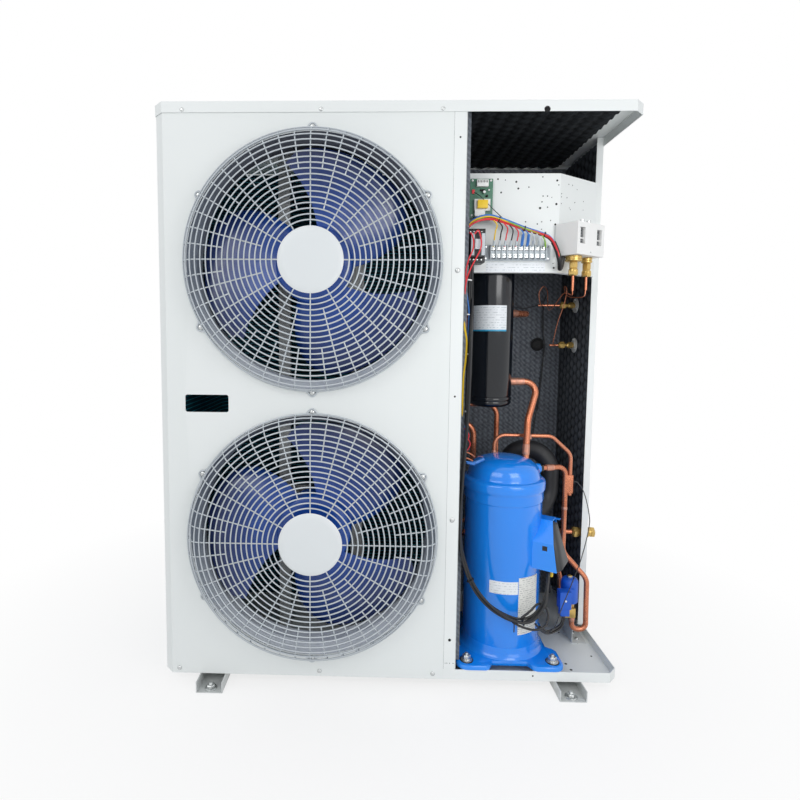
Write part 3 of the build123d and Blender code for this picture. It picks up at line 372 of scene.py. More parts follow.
# ------------------------------------------------------------------ building shapes
class Piece:
    """Shapes of one material gathered into one mesh that rides on a body. place moves what is drawn."""

    def __init__(self, name, slot, body=ROOT, place=None):
        self.name = name
        self.slot = slot
        self.body = body
        self.place = Matrix.Identity(4) if place is None else place
        self.mesh = bmesh.new()

    def add(self, points, faces):
        vertices = [self.mesh.verts.new(self.place @ Vector(p)) for p in points]
        for face in faces:
            self.mesh.faces.new([vertices[i] for i in face])
        return vertices

    def skin(self, rings, closed=False, capped=True, backward=False):
        """Joins rings of as many points each. closed joins the last ring to the first.

        backward winds the faces the other way. That decides where an end that isn't flat folds.
        """
        count = len(rings[0])
        faces = []
        for ring in range(len(rings) if closed else len(rings) - 1):
            here, there = ring * count, (ring + 1) % len(rings) * count
            for k in range(count):
                after = (k + 1) % count
                others = (here + after, there + after, there + k)
                faces.append((here + k, *(reversed(others) if backward else others)))
        if capped and not closed:
            first, last = range(count), range((len(rings) - 1) * count, len(rings) * count)
            faces.append(tuple(first if backward else reversed(first)))
            faces.append(tuple(reversed(last) if backward else last))
        self.add([point for ring in rings for point in ring], faces)

    def box(self, low, high, bevel=0.0):
        corners = [(x, y, z) for x in (low[0], high[0]) for y in (low[1], high[1]) for z in (low[2], high[2])]
        faces = [(0, 1, 3, 2), (4, 6, 7, 5), (0, 4, 5, 1), (2, 3, 7, 6), (0, 2, 6, 4), (1, 5, 7, 3)]
        vertices = self.add(corners, faces)
        if bevel:
            edges = list({edge for v in vertices for edge in v.link_edges})
            bmesh.ops.bevel(self.mesh, geom=edges, offset=bevel, segments=2, profile=0.7, affect="EDGES")

    def lathe(self, profile, start=(0, 0, 0), along=(0, 0, 1), steps=48):
        """Turns (radius, distance) pairs round a line. A profile that ends where it starts makes a ring."""
        axis = Vector(along).normalized()
        side = axis.orthogonal().normalized()
        other = axis.cross(side)
        angles = [2 * pi * step / steps for step in range(steps)]
        rings = []
        for radius, distance in profile:
            centre = Vector(start) + axis * distance
            rings.append([centre + (side * cos(angle) + other * sin(angle)) * radius for angle in angles])
        self.skin(rings, capped=profile[0] != profile[-1])

    def rod(self, start, end, radius, steps=24, chamfer=0.0):
        run = Vector(end) - Vector(start)
        c = min(chamfer, radius * 0.6)
        profile = [(radius, 0), (radius, run.length)]
        if c:
            profile = [(radius - c, 0), (radius, c), (radius, run.length - c), (radius - c, run.length)]
        self.lathe(profile, start, run, steps)

    def hexagon(self, start, end, across, chamfer=0.0):
        self.rod(start, end, across / sqrt(3), 6, chamfer)

    def sweep(self, line, radius, sides=10, closed=False):
        """A round bar along a list of points close together."""
        angles = [2 * pi * k / sides for k in range(sides)]
        last = len(line) - 1
        rings = []
        normal = None
        for number, here in enumerate(line):
            before = line[number - 1] if number or closed else here
            after = line[(number + 1) % len(line)] if number < last or closed else here
            tangent = (after - before).normalized()
            if normal is None:
                normal = tangent.orthogonal().normalized()
            normal = (normal - tangent * normal.dot(tangent)).normalized()
            other = tangent.cross(normal)
            rings.append([here + (normal * cos(angle) + other * sin(angle)) * radius for angle in angles])
        self.skin(rings, closed, backward=True)

    def finish(self, replaces=(), smooth=38.0):
        self.mesh.verts.ensure_lookup_table()
        bmesh.ops.scale(self.mesh, vec=(MM, MM, MM), verts=self.mesh.verts)
        bmesh.ops.recalc_face_normals(self.mesh, faces=self.mesh.faces)
        data = bpy.data.meshes.new(self.name)
        self.mesh.to_mesh(data)
        self.mesh.free()
        data.materials.append(looks[self.slot].material)
        data.shade_smooth()
        data.set_sharp_from_angle(angle=radians(smooth))
        piece = bpy.data.objects.new(self.name, data)
        bpy.context.scene.collection.objects.link(piece)
        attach(piece, self.body)
        if replaces:
            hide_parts(*replaces)
        return piece


def bent_line(points, bends, steps=7):
    """Points along straight runs joined by tangent arcs, one radius for each inner corner."""
    corners = [Vector(p) for p in points]
    line = [corners[0]]
    for before, here, after, radius in zip(corners, corners[1:], corners[2:], bends):
        back = (before - here).normalized()
        ahead = (after - here).normalized()
        half = back.angle(ahead) / 2
        cut = radius / tan(half)
        centre = here + (back + ahead).normalized() * (radius / sin(half))
        first = here + back * cut - centre
        last = here + ahead * cut - centre
        sweep_angle = first.angle(last)
        for step in range(steps + 1):
            share = step / steps
            first_part = sin((1 - share) * sweep_angle) / sin(sweep_angle)
            last_part = sin(share * sweep_angle) / sin(sweep_angle)
            line.append(centre + first * first_part + last * last_part)
    line.append(corners[-1])
    return line


# ------------------------------------------------------------------ wire guards
def guard_profile(radius):
    """Distance of a guard's wires behind its front at a radius."""
    flat = 238.0
    if radius <= flat:
        return 0.0
    share = min(1.0, (radius - flat) / (guard_radius - flat))
    return (guard_depth - 4.0) * (1 - sqrt(max(0.0, 1 - share ** 2.3)))


def fan_guard(level, z):
    centre = Vector((fan_x, 0, z))
    front = panel_face - guard_depth
    wires = Piece(level + "_guard_wires", "guard_wire")

    def ring(radius, wire):
        y = front + guard_profile(radius) + wire
        angles = [2 * pi * k / ring_sides for k in range(ring_sides)]
        wires.sweep([centre + Vector((radius * cos(a), y, radius * sin(a))) for a in angles], wire, 8,
                    closed=True)

    ring_sides, spoke_count, ear_count = 96, 48, 6
    pitch = 11.6
    wire, spoke, rim = 1.55, 1.45, 2.3
    radius = disc_radius + pitch
    while radius < guard_radius - 10:
        ring(radius, wire)
        radius += pitch
    ring(guard_radius - 5.5, wire)
    ring(guard_radius, rim)
    spoke_starts = (disc_radius - 6, disc_radius + 10 * pitch, disc_radius + 3 * pitch,
                    disc_radius + 10 * pitch)
    for number in range(spoke_count):
        angle = radians(360 / spoke_count * number)
        start = spoke_starts[number % 4]
        radii = [start] + [r for r in (150, 200, 238, 250, 260, 268, 274, 278, guard_radius) if r > start + 5]
        line = [centre + Vector((r * cos(angle), front + guard_profile(r) + 4.4,
                                 r * sin(angle))) for r in radii]
        wires.sweep(line, spoke, 8)
    screws = Piece(level + "_guard_screws", "steel")
    for number in range(ear_count):
        angle = radians(30 + 360 / ear_count * number)
        out = Vector((cos(angle), 0, sin(angle)))
        along = Vector((-sin(angle), 0, cos(angle)))
        middle = centre + out * (guard_radius + 4) + Vector((0, panel_face - 2.4, 0))
        ear = [middle - out * 4 + along * 15, middle - out * 1 + along * 10]
        arc = [1.1 - 2.2 * k / 10 for k in range(11)]
        ear += [middle + out * 7.5 * cos(a) + along * 7.5 * sin(a) for a in arc]
        ear += [middle - out * 1 - along * 10, middle - out * 4 - along * 15]
        wires.sweep(ear, 1.9, 8)
        spot = middle + Vector((0, 2.4, 0))
        screws.lathe([(6.8, -0.2), (6.8, -1.0), (5.4, -3.4), (2.8, -4.6), (0.4, -4.8)], spot, (0, 1, 0), 20)
    screws.finish()
    wires.finish([level + "_fan_guard"])
    disc = Piece(level + "_guard_disc", "guard_disc")
    disc.lathe([(0.5, -0.6), (disc_radius - 14, -0.2), (disc_radius - 3, 0.6), (disc_radius, 2.6),
                (disc_radius - 1, 3.6), (0.5, 2.2)], (fan_x, front + 0.7, z), (0, 1, 0), 72)
    disc.finish()


# ------------------------------------------------------------------ fans
def fan_rotor(level, z):
    """A cup-shaped hub and three wide swept blades, in the space of the CAD fan."""
    hub_front = panel_face + 28
    tip = throat_radius - 6
    root = hub_radius - 2
    rotor = Piece(level + "_fan_blades", "fan_plastic", level + "_rotor")

    def place(turn, share, out, lift):
        """A point of a blade: share along the chord, out along the span, lift off the surface."""
        leading_cut = 0.20 * (1 - min(1, share / 0.30)) ** 2
        trailing_cut = 0.10 * max(0, (share - 0.86) / 0.14) ** 2
        reach = tip * (1 - leading_cut - trailing_cut)
        radius = root + (reach - root) * out
        angle = turn + radians(86 * share * (1 - out) + (18 + 88 * share) * out)
        root_height = -hub_depth + 8 + (hub_depth - 20) * share
        tip_height = -hub_depth - 16 + (hub_depth + 8) * share
        height = root_height * (1 - out) + tip_height * out
        height += 7 * sin(pi * share) + lift
        return Vector((fan_x + radius * cos(angle), hub_front - height, z + radius * sin(angle)))

    across, along = 14, 12
    blade_count, thickness = 3, 3.0
    for blade in range(blade_count):
        turn = radians(360 / blade_count * blade)
        points = []
        for lift in (0.0, thickness):
            for i in range(across + 1):
                for j in range(along + 1):
                    inner = min(i, across - i, along - j) > 0
                    points.append(place(turn, i / across, j / along, lift if inner else 1.0 + lift / 3))
        side = (across + 1) * (along + 1)
        faces = []
        for i in range(across):
            for j in range(along):
                a = i * (along + 1) + j
                quad = (a, a + 1, a + along + 2, a + along + 1)
                faces.append(quad)
                faces.append(tuple(side + v for v in reversed(quad)))
        rim = list(range(along + 1)) + [(i + 1) * (along + 1) + along for i in range(across)]
        rim += [across * (along + 1) + along - 1 - j for j in range(along)]
        rim += [(across - 1 - i) * (along + 1) for i in range(across - 1)]
        for a, b in zip(rim, rim[1:] + rim[:1]):
            faces.append((b, a, side + a, side + b))
        rotor.add(points, faces)
    rotor.lathe([(0.5, 0), (60, 0), (hub_radius - 8, 1.5), (hub_radius - 2, 5), (hub_radius, 11),
                 (hub_radius, hub_depth), (hub_radius - 3, hub_depth), (hub_radius - 3, 12),
                 (hub_radius - 10, 5), (0.5, 5)], (fan_x, hub_front, z), (0, 1, 0), 60)
    rotor.rod((fan_x, hub_front + 4, z), (fan_x, hub_front + hub_depth, z), 17, 24, 1.0)
    rotor.finish([level + "_fan"], 50)


def motor_details(level, z):
    """Bright bolts, lugs and a band on the motor and its cross plate, seen between the blades."""
    plate = Piece(level + "_motor_lugs", "galvanised")
    for side in (-1, 1):
        for end in (-1, 1):
            bolt_x, lug_x, height = fan_x + side * 78, fan_x + side * 66, z + end * 46
            plate.rod((bolt_x, -12, height), (bolt_x, -20, height), 7, 6, 1.0)
            plate.box((lug_x - 12, -30, height - 9), (lug_x + 12, -24, height + 9), 1.0)
    plate.lathe([(64, -104), (67.5, -103), (67.5, -96), (64, -95), (64, -104)], (fan_x, 0, z), (0, 1, 0), 48)
    plate.finish()


for level, z in fan_levels.items():
    fan_guard(level, z)
    fan_rotor(level, z)
    motor_details(level, z)


# ------------------------------------------------------------------ casing details
def pan_head(piece, place, way, radius=5.2):
    """A pan-head screw; its driving axis points into the wall along way."""
    piece.lathe([(radius, 0.2), (radius, -0.8), (radius * 0.8, -2.2), (radius * 0.4, -2.9), (0.3, -3.0)],
                place, way, 20)


def screw(piece, x, z, y, radius=5.2):
    """A pan-head screw in a wall that faces the front."""
    pan_head(piece, (x, y, z), (0, 1, 0), radius)


def casing_details():
    screws = Piece("casing_screws", "steel")
    for x in (-486, -161, 99):
        screw(screws, x, 38, panel_face)
    for x in (-458, -160, 98):
        screw(screws, x, 1288, -219.0, 5.0)
    for z in (951, 399):
        screw(screws, 136, z, panel_face, 5.6)
    back = node_box("rear_panel")[1].y
    side = node_box("right_side_panel")[1].x
    for z in (64, 440, 840, 1236):
        for x in (176, 500):
            pan_head(screws, (x, back, z), (0, -1, 0))
        for y in (-1, 196):
            pan_head(screws, (side, y, z), (-1, 0, 0))
    screws.finish()
    # Dark discs for holes in the casing, the lid and the pan, and a dark line down a seam of the front:
    # painted shade.
    holes = Piece("casing_holes", "dark_gap")
    for z, radius in ((1230, 2.0), (677, 2.2), (119, 3.4)):
        holes.rod((136, panel_face - 0.15, z), (136, panel_face + 0.4, z), radius, 16)
    for x in (127, 131, 137, 145):
        holes.rod((x, panel_face - 0.15, 64), (x, panel_face + 0.4, 64), 1.0, 10)
    holes.rod((316, -220.0, 1286), (316, -219.4, 1286), 6.5, 20)
    holes.rod((327, pan_front - 0.15, 37), (327, pan_front + 0.4, 37), 2.0, 12)
    for x, y, radius in ((457, -15, 2.2), (426, -151, 3.2), (430, -174, 3.2), (488, -62, 2.6),
                         (405, -186, 2.4), (500, -118, 2.4), (352, -206, 2.0)):
        holes.rod((x, y, 26.3), (x, y, 26.7), radius, 14)
    holes.box((123.0, panel_face + 0.3, 50), (123.5, panel_face + 1.2, 1300))
    holes.finish()
    bolts = Piece("foot_bolts", "steel")
    for x in (-foot_bolt_x, foot_bolt_x):
        for y in (-foot_bolt_y, foot_bolt_y):
            bolts.lathe([(7.0, 2.0), (13.5, 2.0), (13.5, 3.8), (12.5, 4.4), (7.0, 4.4), (7.0, 2.0)],
                        (x, y, 0), steps=28)
            bolts.hexagon((x, y, 4.4), (x, y, 11.5), 17, 1.2)
            bolts.rod((x, y, 11.0), (x, y, 15.0), 5.0, 16, 1.0)
    bolts.finish()


# ------------------------------------------------------------------ sound foam
def egg_crate(node, along, up, outward, pitch, depth, slot):
    """The face of a foam board pressed into rows of soft lumps; it stands for the CAD board."""
    along, up, outward = Vector(along), Vector(up), Vector(outward)
    low, high = node_box(node)
    length, height = (high - low).dot(along), (high - low).dot(up)
    steps = 5
    board = 10.8
    nu, nv = int(length / pitch) * steps, int(height / pitch) * steps

    def spot(i, j):
        return low + along * (length * i / nu) + up * (height * j / nv)

    points = []
    for i in range(nu + 1):
        for j in range(nv + 1):
            u, v = length * i / nu, height * j / nv
            stagger = pi * (int(u / pitch + 0.5) % 2)
            wave = 0.5 + 0.25 * (cos(2 * pi * u / pitch) + cos(2 * pi * v / pitch + stagger))
            points.append(spot(i, j) - outward * depth * (1 - wave))
    faces = []
    for i in range(nu):
        for j in range(nv):
            a = i * (nv + 1) + j
            faces.append((a, a + 1, a + nv + 2, a + nv + 1))
    base = len(points)
    border = [(0, j) for j in range(nv)] + [(i, nv) for i in range(nu)]
    border += [(nu, nv - j) for j in range(nv)] + [(nu - i, 0) for i in range(nu)]
    points += [spot(i, j) - outward * board for i, j in border]
    rim = [i * (nv + 1) + j for i, j in border]
    for k, here in enumerate(rim):
        after = (k + 1) % len(rim)
        faces.append((here, base + k, base + after, rim[after]))
    faces.append(tuple(base + k for k in range(len(rim))))
    piece = Piece(node + "_lumps", slot)
    piece.add(points, faces)
    piece.finish([node], 80)


def foam_linings():
    """The three linings, and the rubber ring in the rear one."""
    egg_crate("side_foam", (0, 1, 0), (0, 0, 1), (-1, 0, 0), 25.0, 8.0, "foam_cells")
    egg_crate("top_foam", (1, 0, 0), (0, 1, 0), (0, 0, -1), 29.0, 8.0, "foam_shade")
    egg_crate("rear_foam", (1, 0, 0), (0, 0, 1), (0, -1, 0), 15.0, 1.6, "foam")
    ring = Piece("rear_grommet", "rubber")
    y = node_box("rear_foam")[0].y
    ring.lathe([(12, 0.2), (19, 0.2), (19.5, -2), (18.5, -4), (16, -4.6), (14, -3.6), (12.5, -1.5),
                (12, 0.2)], (443, y, 787), (0, 1, 0), 32)
    ring.rod((443, y - 1.2, 787), (443, y + 0.2, 787), 12.2, 24)
    ring.finish()


# ------------------------------------------------------------------ compressor
def compressor():
    """A pressed, domed can: seam, collar, weld bulge, cap, and a skirt that flares into the foot plate."""
    can = Piece("compressor_can", "compressor_paint")
    belt = ((0, 417), (0.6, 418.6), (1.8, 420), (2.5, 422.5), (2.5, 441), (3.5, 444), (5.4, 447), (6, 451),
            (6, 463), (5, 467), (1.5, 470), (-2, 471.5), (-5, 472.5), (-6, 474), (-7, 482), (-10, 492),
            (-17, 503), (-30, 512), (-48, 518))
    profile = [(0.5, shell_foot), (shell_radius - 8, shell_foot), (shell_radius - 3, shell_foot + 3),
               (shell_radius, shell_foot + 14)]
    profile += [(shell_radius + out, z) for out, z in belt] + [(30, 520.5), (0.5, 521)]
    can.lathe(profile, (shell_x, shell_y, 0), steps=96)
    z = shell_port_height
    can.rod((shell_x + 76, shell_y + 20.5, z), (shell_x + 95, shell_y + 25.6, z), 12.5, 28, 2.0)
    can.finish(["compressor_shell"], 60)

    plate = Piece("compressor_feet", "compressor_paint")
    half, lobe = 123.0, 24.0
    corner_steps = 6
    outline = []
    for turn in range(4):
        quarter = Matrix.Rotation(radians(90 * turn), 3, "Z")
        for x, y in ((-58, -half), (-50, -half + 4), (-45, -half + 13), (-40, -half + 20), (40, -half + 20),
                     (45, -half + 13), (50, -half + 4), (58, -half)):
            outline.append(quarter @ Vector((x, y, 0)))
        for step in range(corner_steps + 1):
            angle = radians(-90 + 90 * step / corner_steps)
            outline.append(quarter @ Vector((half - lobe + lobe * cos(angle),
                                             -half + lobe + lobe * sin(angle), 0)))
    centre = Vector((shell_x, shell_y, 0))
    rings = []
    for z, shrink in ((48.5, 1.0), (48.5, 0.0), (55.0, 0.0), (57.5, 1.2), (58.5, 3.6)):
        rings.append([centre + p * (1 - shrink / half) + Vector((0, 0, z)) for p in outline])
    plate.skin(rings)
    skirt = ((11, 57.8), (8, 60.0), (4.5, 64.5), (2.0, 71), (0.8, 79), (0.2, 82), (-4, 82), (-4, 57.8),
             (11, 57.8))
    plate.lathe([(shell_radius + out, z) for out, z in skirt], (shell_x, shell_y, 0), steps=96)
    plate.finish(["compressor_foot_plate"], 50)

    rubbers = Piece("compressor_rubbers", "rubber")
    bolts = Piece("compressor_fixings", "steel")
    for x in (-mount_reach, mount_reach):
        for y in (-mount_reach, mount_reach):
            px, py = shell_x + x, shell_y + y
            rubbers.lathe([(17, 26.6), (18.5, 29), (18.5, 33), (16, 36), (16, 40), (18.5, 43), (18.5, 46),
                           (16, 48.4)], (px, py, 0), steps=28)
            bolts.lathe([(4.6, 58.6), (13.2, 58.6), (13.2, 60.4), (12.4, 60.9), (9.6, 60.9), (9.6, 62.6),
                         (9.0, 63.2), (4.6, 63.2), (4.6, 58.6)], (px, py, 0), steps=28)
            bolts.hexagon((px, py, 63.2), (px, py, 71.5), 16.5, 1.4)
            bolts.rod((px, py, 48.7), (px, py, 76.0), 4.0, 16, 0.8)
            rubbers.lathe([(8.5, 58.5), (15.5, 58.5), (15.5, 59.2), (8.5, 59.2), (8.5, 58.5)], (px, py, 0),
                          steps=28)
    rubbers.finish(["compressor_grommets"])
    bolts.finish(["compressor_bolts"])


def shell_patch(piece, centre, radius, left, right, low, high, thick=0.35):
    """A label on a cylinder between two angles, in degrees from +X."""
    steps = 24
    rings = []
    for k in range(steps + 1):
        angle = radians(left + (right - left) * k / steps)
        section = ((radius, low), (radius, high), (radius + thick, high), (radius + thick, low))
        rings.append([(centre[0] + r * cos(angle), centre[1] + r * sin(angle), z) for r, z in section])
    piece.skin(rings)


def compressor_labels():
    centre = (shell_x, shell_y)
    small = Piece("compressor_small_label", "blank_label")
    shell_patch(small, centre, shell_radius + 0.1, -120, -79, 213, 243)
    small.finish()
    tall = Piece("compressor_tall_label", "dense_label")
    shell_patch(tall, centre, shell_radius + 0.1, -78, -42, 115, 252, 0.4)
    tall.finish()


def terminal_box():
    """The open steel box on the shell, with a dark moulded cover inside its mouth, a dark lining of painted
    shade on its inner walls and a dark patch of painted shade for a cable hole.
    """
    turned = Matrix.Translation((shell_x, shell_y, 0)) @ Matrix.Rotation(radians(-32), 4, "Z")
    half, low, high, slant, wall = 37.0, 272.0, 378.0, 42.0, 1.6
    reach = shell_radius + 60
    box = Piece("terminal_box_steel", "compressor_paint", place=turned)

    def ring(inset, base, lean, top=0.0):
        """Five corners of the box section, leaning back toward the shell higher up."""
        h = half - inset
        cut = slant - inset * 0.6
        corners = [(-h, low + inset), (h, low + inset), (h, high - inset - top),
                   (cut - h, high - inset - top), (-h, high - inset - cut - top * 0.5)]
        return [(base - lean * max(0.0, z - low - 34) / (high - low - 34), y, z) for y, z in corners]

    box.skin([ring(0, shell_radius - 20, 0), ring(0, reach - 13, 22), ring(0.8, reach - 12, 22),
              ring(wall, reach - 12.6, 22), ring(wall, shell_radius + 8, 0)], backward=True)
    box.box((reach - 34, half - 14, high - 0.8), (reach - 22, half - 2, high + 0.0), 0.3)
    box.finish(["terminal_box"], 30)
    # A dark lining inside the walls and a dark patch for the cable hole: painted shade.
    dark = Piece("terminal_box_inside", "black_plastic", place=turned)
    dark.skin([ring(wall + 0.4, shell_radius + 9, 0), ring(wall + 0.4, reach - 24, 16)], backward=True)
    dark.box((shell_radius + 14.5, -half - 0.25, low + 46.5), (shell_radius + 25.5, -half + 0.3, low + 57.5))
    dark.finish()
    cover = Piece("terminal_box_cover", "motor_paint", place=turned)
    cover.skin([ring(3, reach - 20, 20, 6), ring(3, reach - 8, 26, 10), ring(8, reach - 1.5, 34, 14),
                ring(14, reach - 0.2, 38, 18)], backward=True)
    cover.finish((), 50)
    plug = Piece("terminal_plug", "yellow_plastic")
    plug.rod((376, -172, 252), (376, -172, 271.5), 4.2, 16, 0.8)
    plug.finish()
    tab = Piece("terminal_tab", "compressor_paint")
    tab.box((383, -160, 262), (397, -150, 271.8), 1.5)
    tab.finish()


# ------------------------------------------------------------------ oil separator
def separator():
    x, y, r = 251.0, -42.0, 53.5
    low, high = 633.0, 983.0
    can = Piece("separator_can", "black_paint")
    can.lathe([(0.5, low), (26, low + 0.8), (40, low + 3), (48, low + 6.5), (52, low + 11),
               (r - 0.6, low + 15), (r - 2.4, low + 18), (r - 0.3, low + 20.5), (r, low + 23),
               (r - 0.3, low + 25.5), (r - 2.4, low + 28), (r - 0.6, low + 31), (r - 0.6, high - 22),
               (r - 0.6, high - 15), (52, high - 11), (48, high - 6.5), (40, high - 3), (0.5, high)],
              (x, y, 0), steps=80)
    can.finish(["oil_separator"], 50)
    ports = Piece("separator_ports", "braze")
    upper = Vector((cos(radians(38.5)), sin(radians(38.5)), 0))
    for way, z in ((Vector((1, 0, 0)), 697.0), (upper, 870.0)):
        start = Vector((x, y, z)) + way * (r - 3)
        ports.lathe([(10.5, 0), (10.5, 3.5), (9.6, 4.5), (9.6, 13), (9.0, 14.2), (8.6, 15)], start, way, 28)
    ports.finish()
    paper = Piece("separator_label", "blank_label")
    shell_patch(paper, (x, y), r - 0.45, -188, -61, 826, 884)
    paper.finish()
    band = Piece("separator_label_band", "label_band")
    shell_patch(band, (x, y), r - 0.45, -188, -61, 822, 826)
    band.finish()


# ------------------------------------------------------------------ pipes
def pipe(name, node, diameter, bends, route):
    """A copper pipe that stands for a CAD pipe."""
    piece = Piece(name, "copper")
    piece.sweep(bent_line(route, bends, 9), diameter / 2, 20)
    piece.finish([node])


def pipework():
    pipe("discharge_pipe", "discharge_line", 15.9, [60, 26], [
        (333, -88, 509), (338, -80, 606), (374, -42, 697), (316.8, -42, 697)])
    pipe("hot_gas_pipe", "hot_gas_line", 15.9, [26, 40], [
        (302.8, -1.1, 870), (371.4, 53.5, 870), (330, 150, 870), (162.6, 150, 870)])
    pipe("arch_pipe", "arch_line", 9.5, [26, 30, 30], [
        (262, -62, 512), (262, -62, 564), (405, -58, 562), (457.4, -50, 515), (457.4, -50, 410)])
    injection = Piece("injection_pipe", "copper")
    route = [(466, -73, 104), (466, -73, 70), (502, -73, 70), (502, -68, 200), (446, -50, 262),
             (446, -50, 483), (381.6, -67.3, 483)]
    injection.sweep(bent_line(route, [16, 16, 34, 34, 22], 9), 6.35, 20)
    injection.box((446.5, -56.4, 416), (463.9, -54.9, 462), 0.6)
    injection.box((462.4, -56.4, 416), (463.9, -44, 462), 0.6)
    injection.finish(["injection_line"])
    sleeve = Piece("suction_sleeve", "lagging")
    route = [(352.5, -39.2, 362), (428, 18, 362), (428, 18, 508), (330, 62, 508), (330, 96, 150),
             (420, 130, 196), (490, 130, 196)]
    sleeve.sweep(bent_line(route, [52, 52, 50, 52, 60], 12), 23.8, 28)
    sleeve.finish(["suction_line"], 60)
    gas = Piece("coil_pipes", "copper")
    gas.sweep(bent_line([(162.6, 30, 580), (228, 30, 580), (228, 30, 276), (162.6, 30, 276)], [34, 34], 9),
              7.95, 20)
    gas.sweep(bent_line([(490, 12, 292), (455, 12, 292), (455, 172, 262), (162.6, 172, 262)], [24, 40], 9),
              6.35, 20)
    gas.finish(["coil_lines"])
    pipe("solenoid_feed_pipe", "solenoid_feed", 12.7, [30, 30, 30, 16], [
        (162.6, 12, 632), (284, 12, 632), (284, 12, 214), (452, -10, 208), (459, -20, 116), (459, -56.7, 116)])


def brazed_joints():
    """Short rough collars where pipes are brazed, and the dark sleeve on the shell's side port."""
    joints = Piece("brazed_joints", "braze")
    up, riser = (0, 0, 1), (5, 8, 97)
    collars = (((333.4, -87.2, 521), riser, 8.2, 26), ((340.5, -77.6, 558), riser, 8.0, 12),
               ((262, -62, 517), up, 5.0, 9), ((315, -42, 697), (1, 0, 0), 8.6, 22),
               ((305.5, 1.2, 870), (0.783, 0.622, 0), 8.6, 30), ((391, -64.8, 483), shell_port, 7.4, 22),
               ((446, -50, 372), up, 6.6, 8), ((228, 30, 470), up, 8.2, 10), ((466, -73, 92), up, 6.6, 10))
    for place, way, radius, length in collars:
        joints.lathe([(radius - 0.6, 0), (radius + 0.5, 0.6), (radius + 0.9, length * 0.3),
                      (radius + 0.7, length * 0.7), (radius + 0.2, length - 0.6), (radius - 0.6, length)],
                     place, way, 24)
    joints.finish()
    stub = Piece("shell_stub_sleeve", "black_paint")
    start = (shell_x + 93, shell_y + 25.1, shell_port_height)
    stub.lathe([(7.4, 0), (9.6, 0.6), (9.6, 9), (7.4, 10)], start, shell_port, 24)
    stub.finish()


# ------------------------------------------------------------------ valves and ports
def solenoid():
    x, y = 459.0, -70.0
    coil = Piece("solenoid_coil_body", "blue_plastic")
    coil.lathe([(7, 142), (18.5, 142), (20.5, 144), (20.8, 150), (20.8, 190), (20, 197), (17, 202), (12, 204),
                (7, 204)], (x, y, 0), steps=48)
    coil.box((x - 39, y - 46, 142), (x - 11, y - 22, 186), 2.0)
    coil.box((x - 36, y - 44, 124), (x - 14, y - 26, 143), 2.5)
    coil.box((x - 14, y - 24, 150), (x + 4, y - 14, 184), 1.5)
    coil.finish(["solenoid_coil"], 40)
    body = Piece("solenoid_body", "brass")
    body.box((x - 13, y - 13, 104), (x + 13, y + 13, 128), 2.0)
    body.hexagon((x, y, 128), (x, y, 141.5), 22, 1.2)
    body.rod((x, y, 141), (x, y, 209.5), 5.8, 24, 1.5)
    body.finish(["solenoid_valve"])
    dot = Piece("solenoid_screw", "white_plastic")
    dot.rod((x - 25, y - 47, 164), (x - 25, y - 45.8, 164), 2.6, 16, 0.4)
    dot.finish()
    cap = Piece("solenoid_nut", "steel")
    cap.hexagon((x, y, 204), (x, y, 208), 12, 0.6)
    cap.finish()
    foot = Piece("bracket_screws", "steel")
    for behind in (24, 52):
        foot.lathe([(5.5, 0), (5.5, 1), (4, 3), (0.3, 4)], (x + 33, y + behind, 28), steps=20)
    foot.finish()


def flare_nut(piece, start, end, across):
    """A hexagon with turned shoulders, as on a flare joint."""
    run = Vector(end) - Vector(start)
    way = run.normalized()
    piece.hexagon(Vector(start) + way * 0.18 * run.length, Vector(end) - way * 0.12 * run.length, across, 1.2)
    piece.lathe([(across * 0.30, 0), (across * 0.44, 0.15 * run.length), (across * 0.44, 0.9 * run.length),
                 (across * 0.34, run.length)], start, way, 24)


def valves():
    brass = Piece("service_valve_bodies", "brass")
    for y, z in ((12.0, 292.0), (130.0, 196.0)):
        flare_nut(brass, (490.5, y, z), (508.0, y, z), 25)
        brass.rod((507, y, z), (540, y, z), 11.5, 32, 1.0)
        brass.hexagon((523.5, y, z), (531.5, y, z), 27, 1.2)
        brass.lathe([(10, 0), (12, 1.5), (12, 4), (10.4, 5.2), (10.4, 6.4), (12.6, 7.4), (12.6, 9.0)],
                    (531.5, y, z), (1, 0, 0), 28)
        brass.hexagon((538.5, y, z), (548.5, y, z), 24, 1.6)
        brass.lathe([(11, 0), (8, 1.6), (0.4, 2.2)], (548.4, y, z), (1, 0, 0), 28)
    brass.finish(["service_valves"])
    ports = Piece("gauge_fittings", "brass")
    tubes = Piece("gauge_tubes", "copper")
    plates = Piece("gauge_plates", "galvanised")
    y = 88
    for z, tip in ((895.0, 406.0), (787.0, 440.0)):
        flare_nut(ports, (486, y, z), (505, y, z), 15)
        flare_nut(ports, (464, y, z), (482, y, z), 17)
        ports.rod((480, y, z), (490, y, z), 4.0, 20)
        tubes.rod((tip, y, z), (468, y, z), 2.9, 20, 0.5)
        plates.lathe([(0.5, 0), (20, 0), (20, -1.6), (18.5, -2.2), (12, -2.2), (11, -3.6), (0.5, -3.6)],
                     (508.0, y, z), (1, 0, 0), 40)
        for k in range(3):
            angle = radians(90 + 120 * k)
            bolt_y, bolt_z = y + 15.5 * cos(angle), z + 15.5 * sin(angle)
            plates.rod((502.5, bolt_y, bolt_z), (507, bolt_y, bolt_z), 2.6, 14, 0.8)
    ports.finish(["gauge_ports"])
    tubes.finish()
    plates.finish()


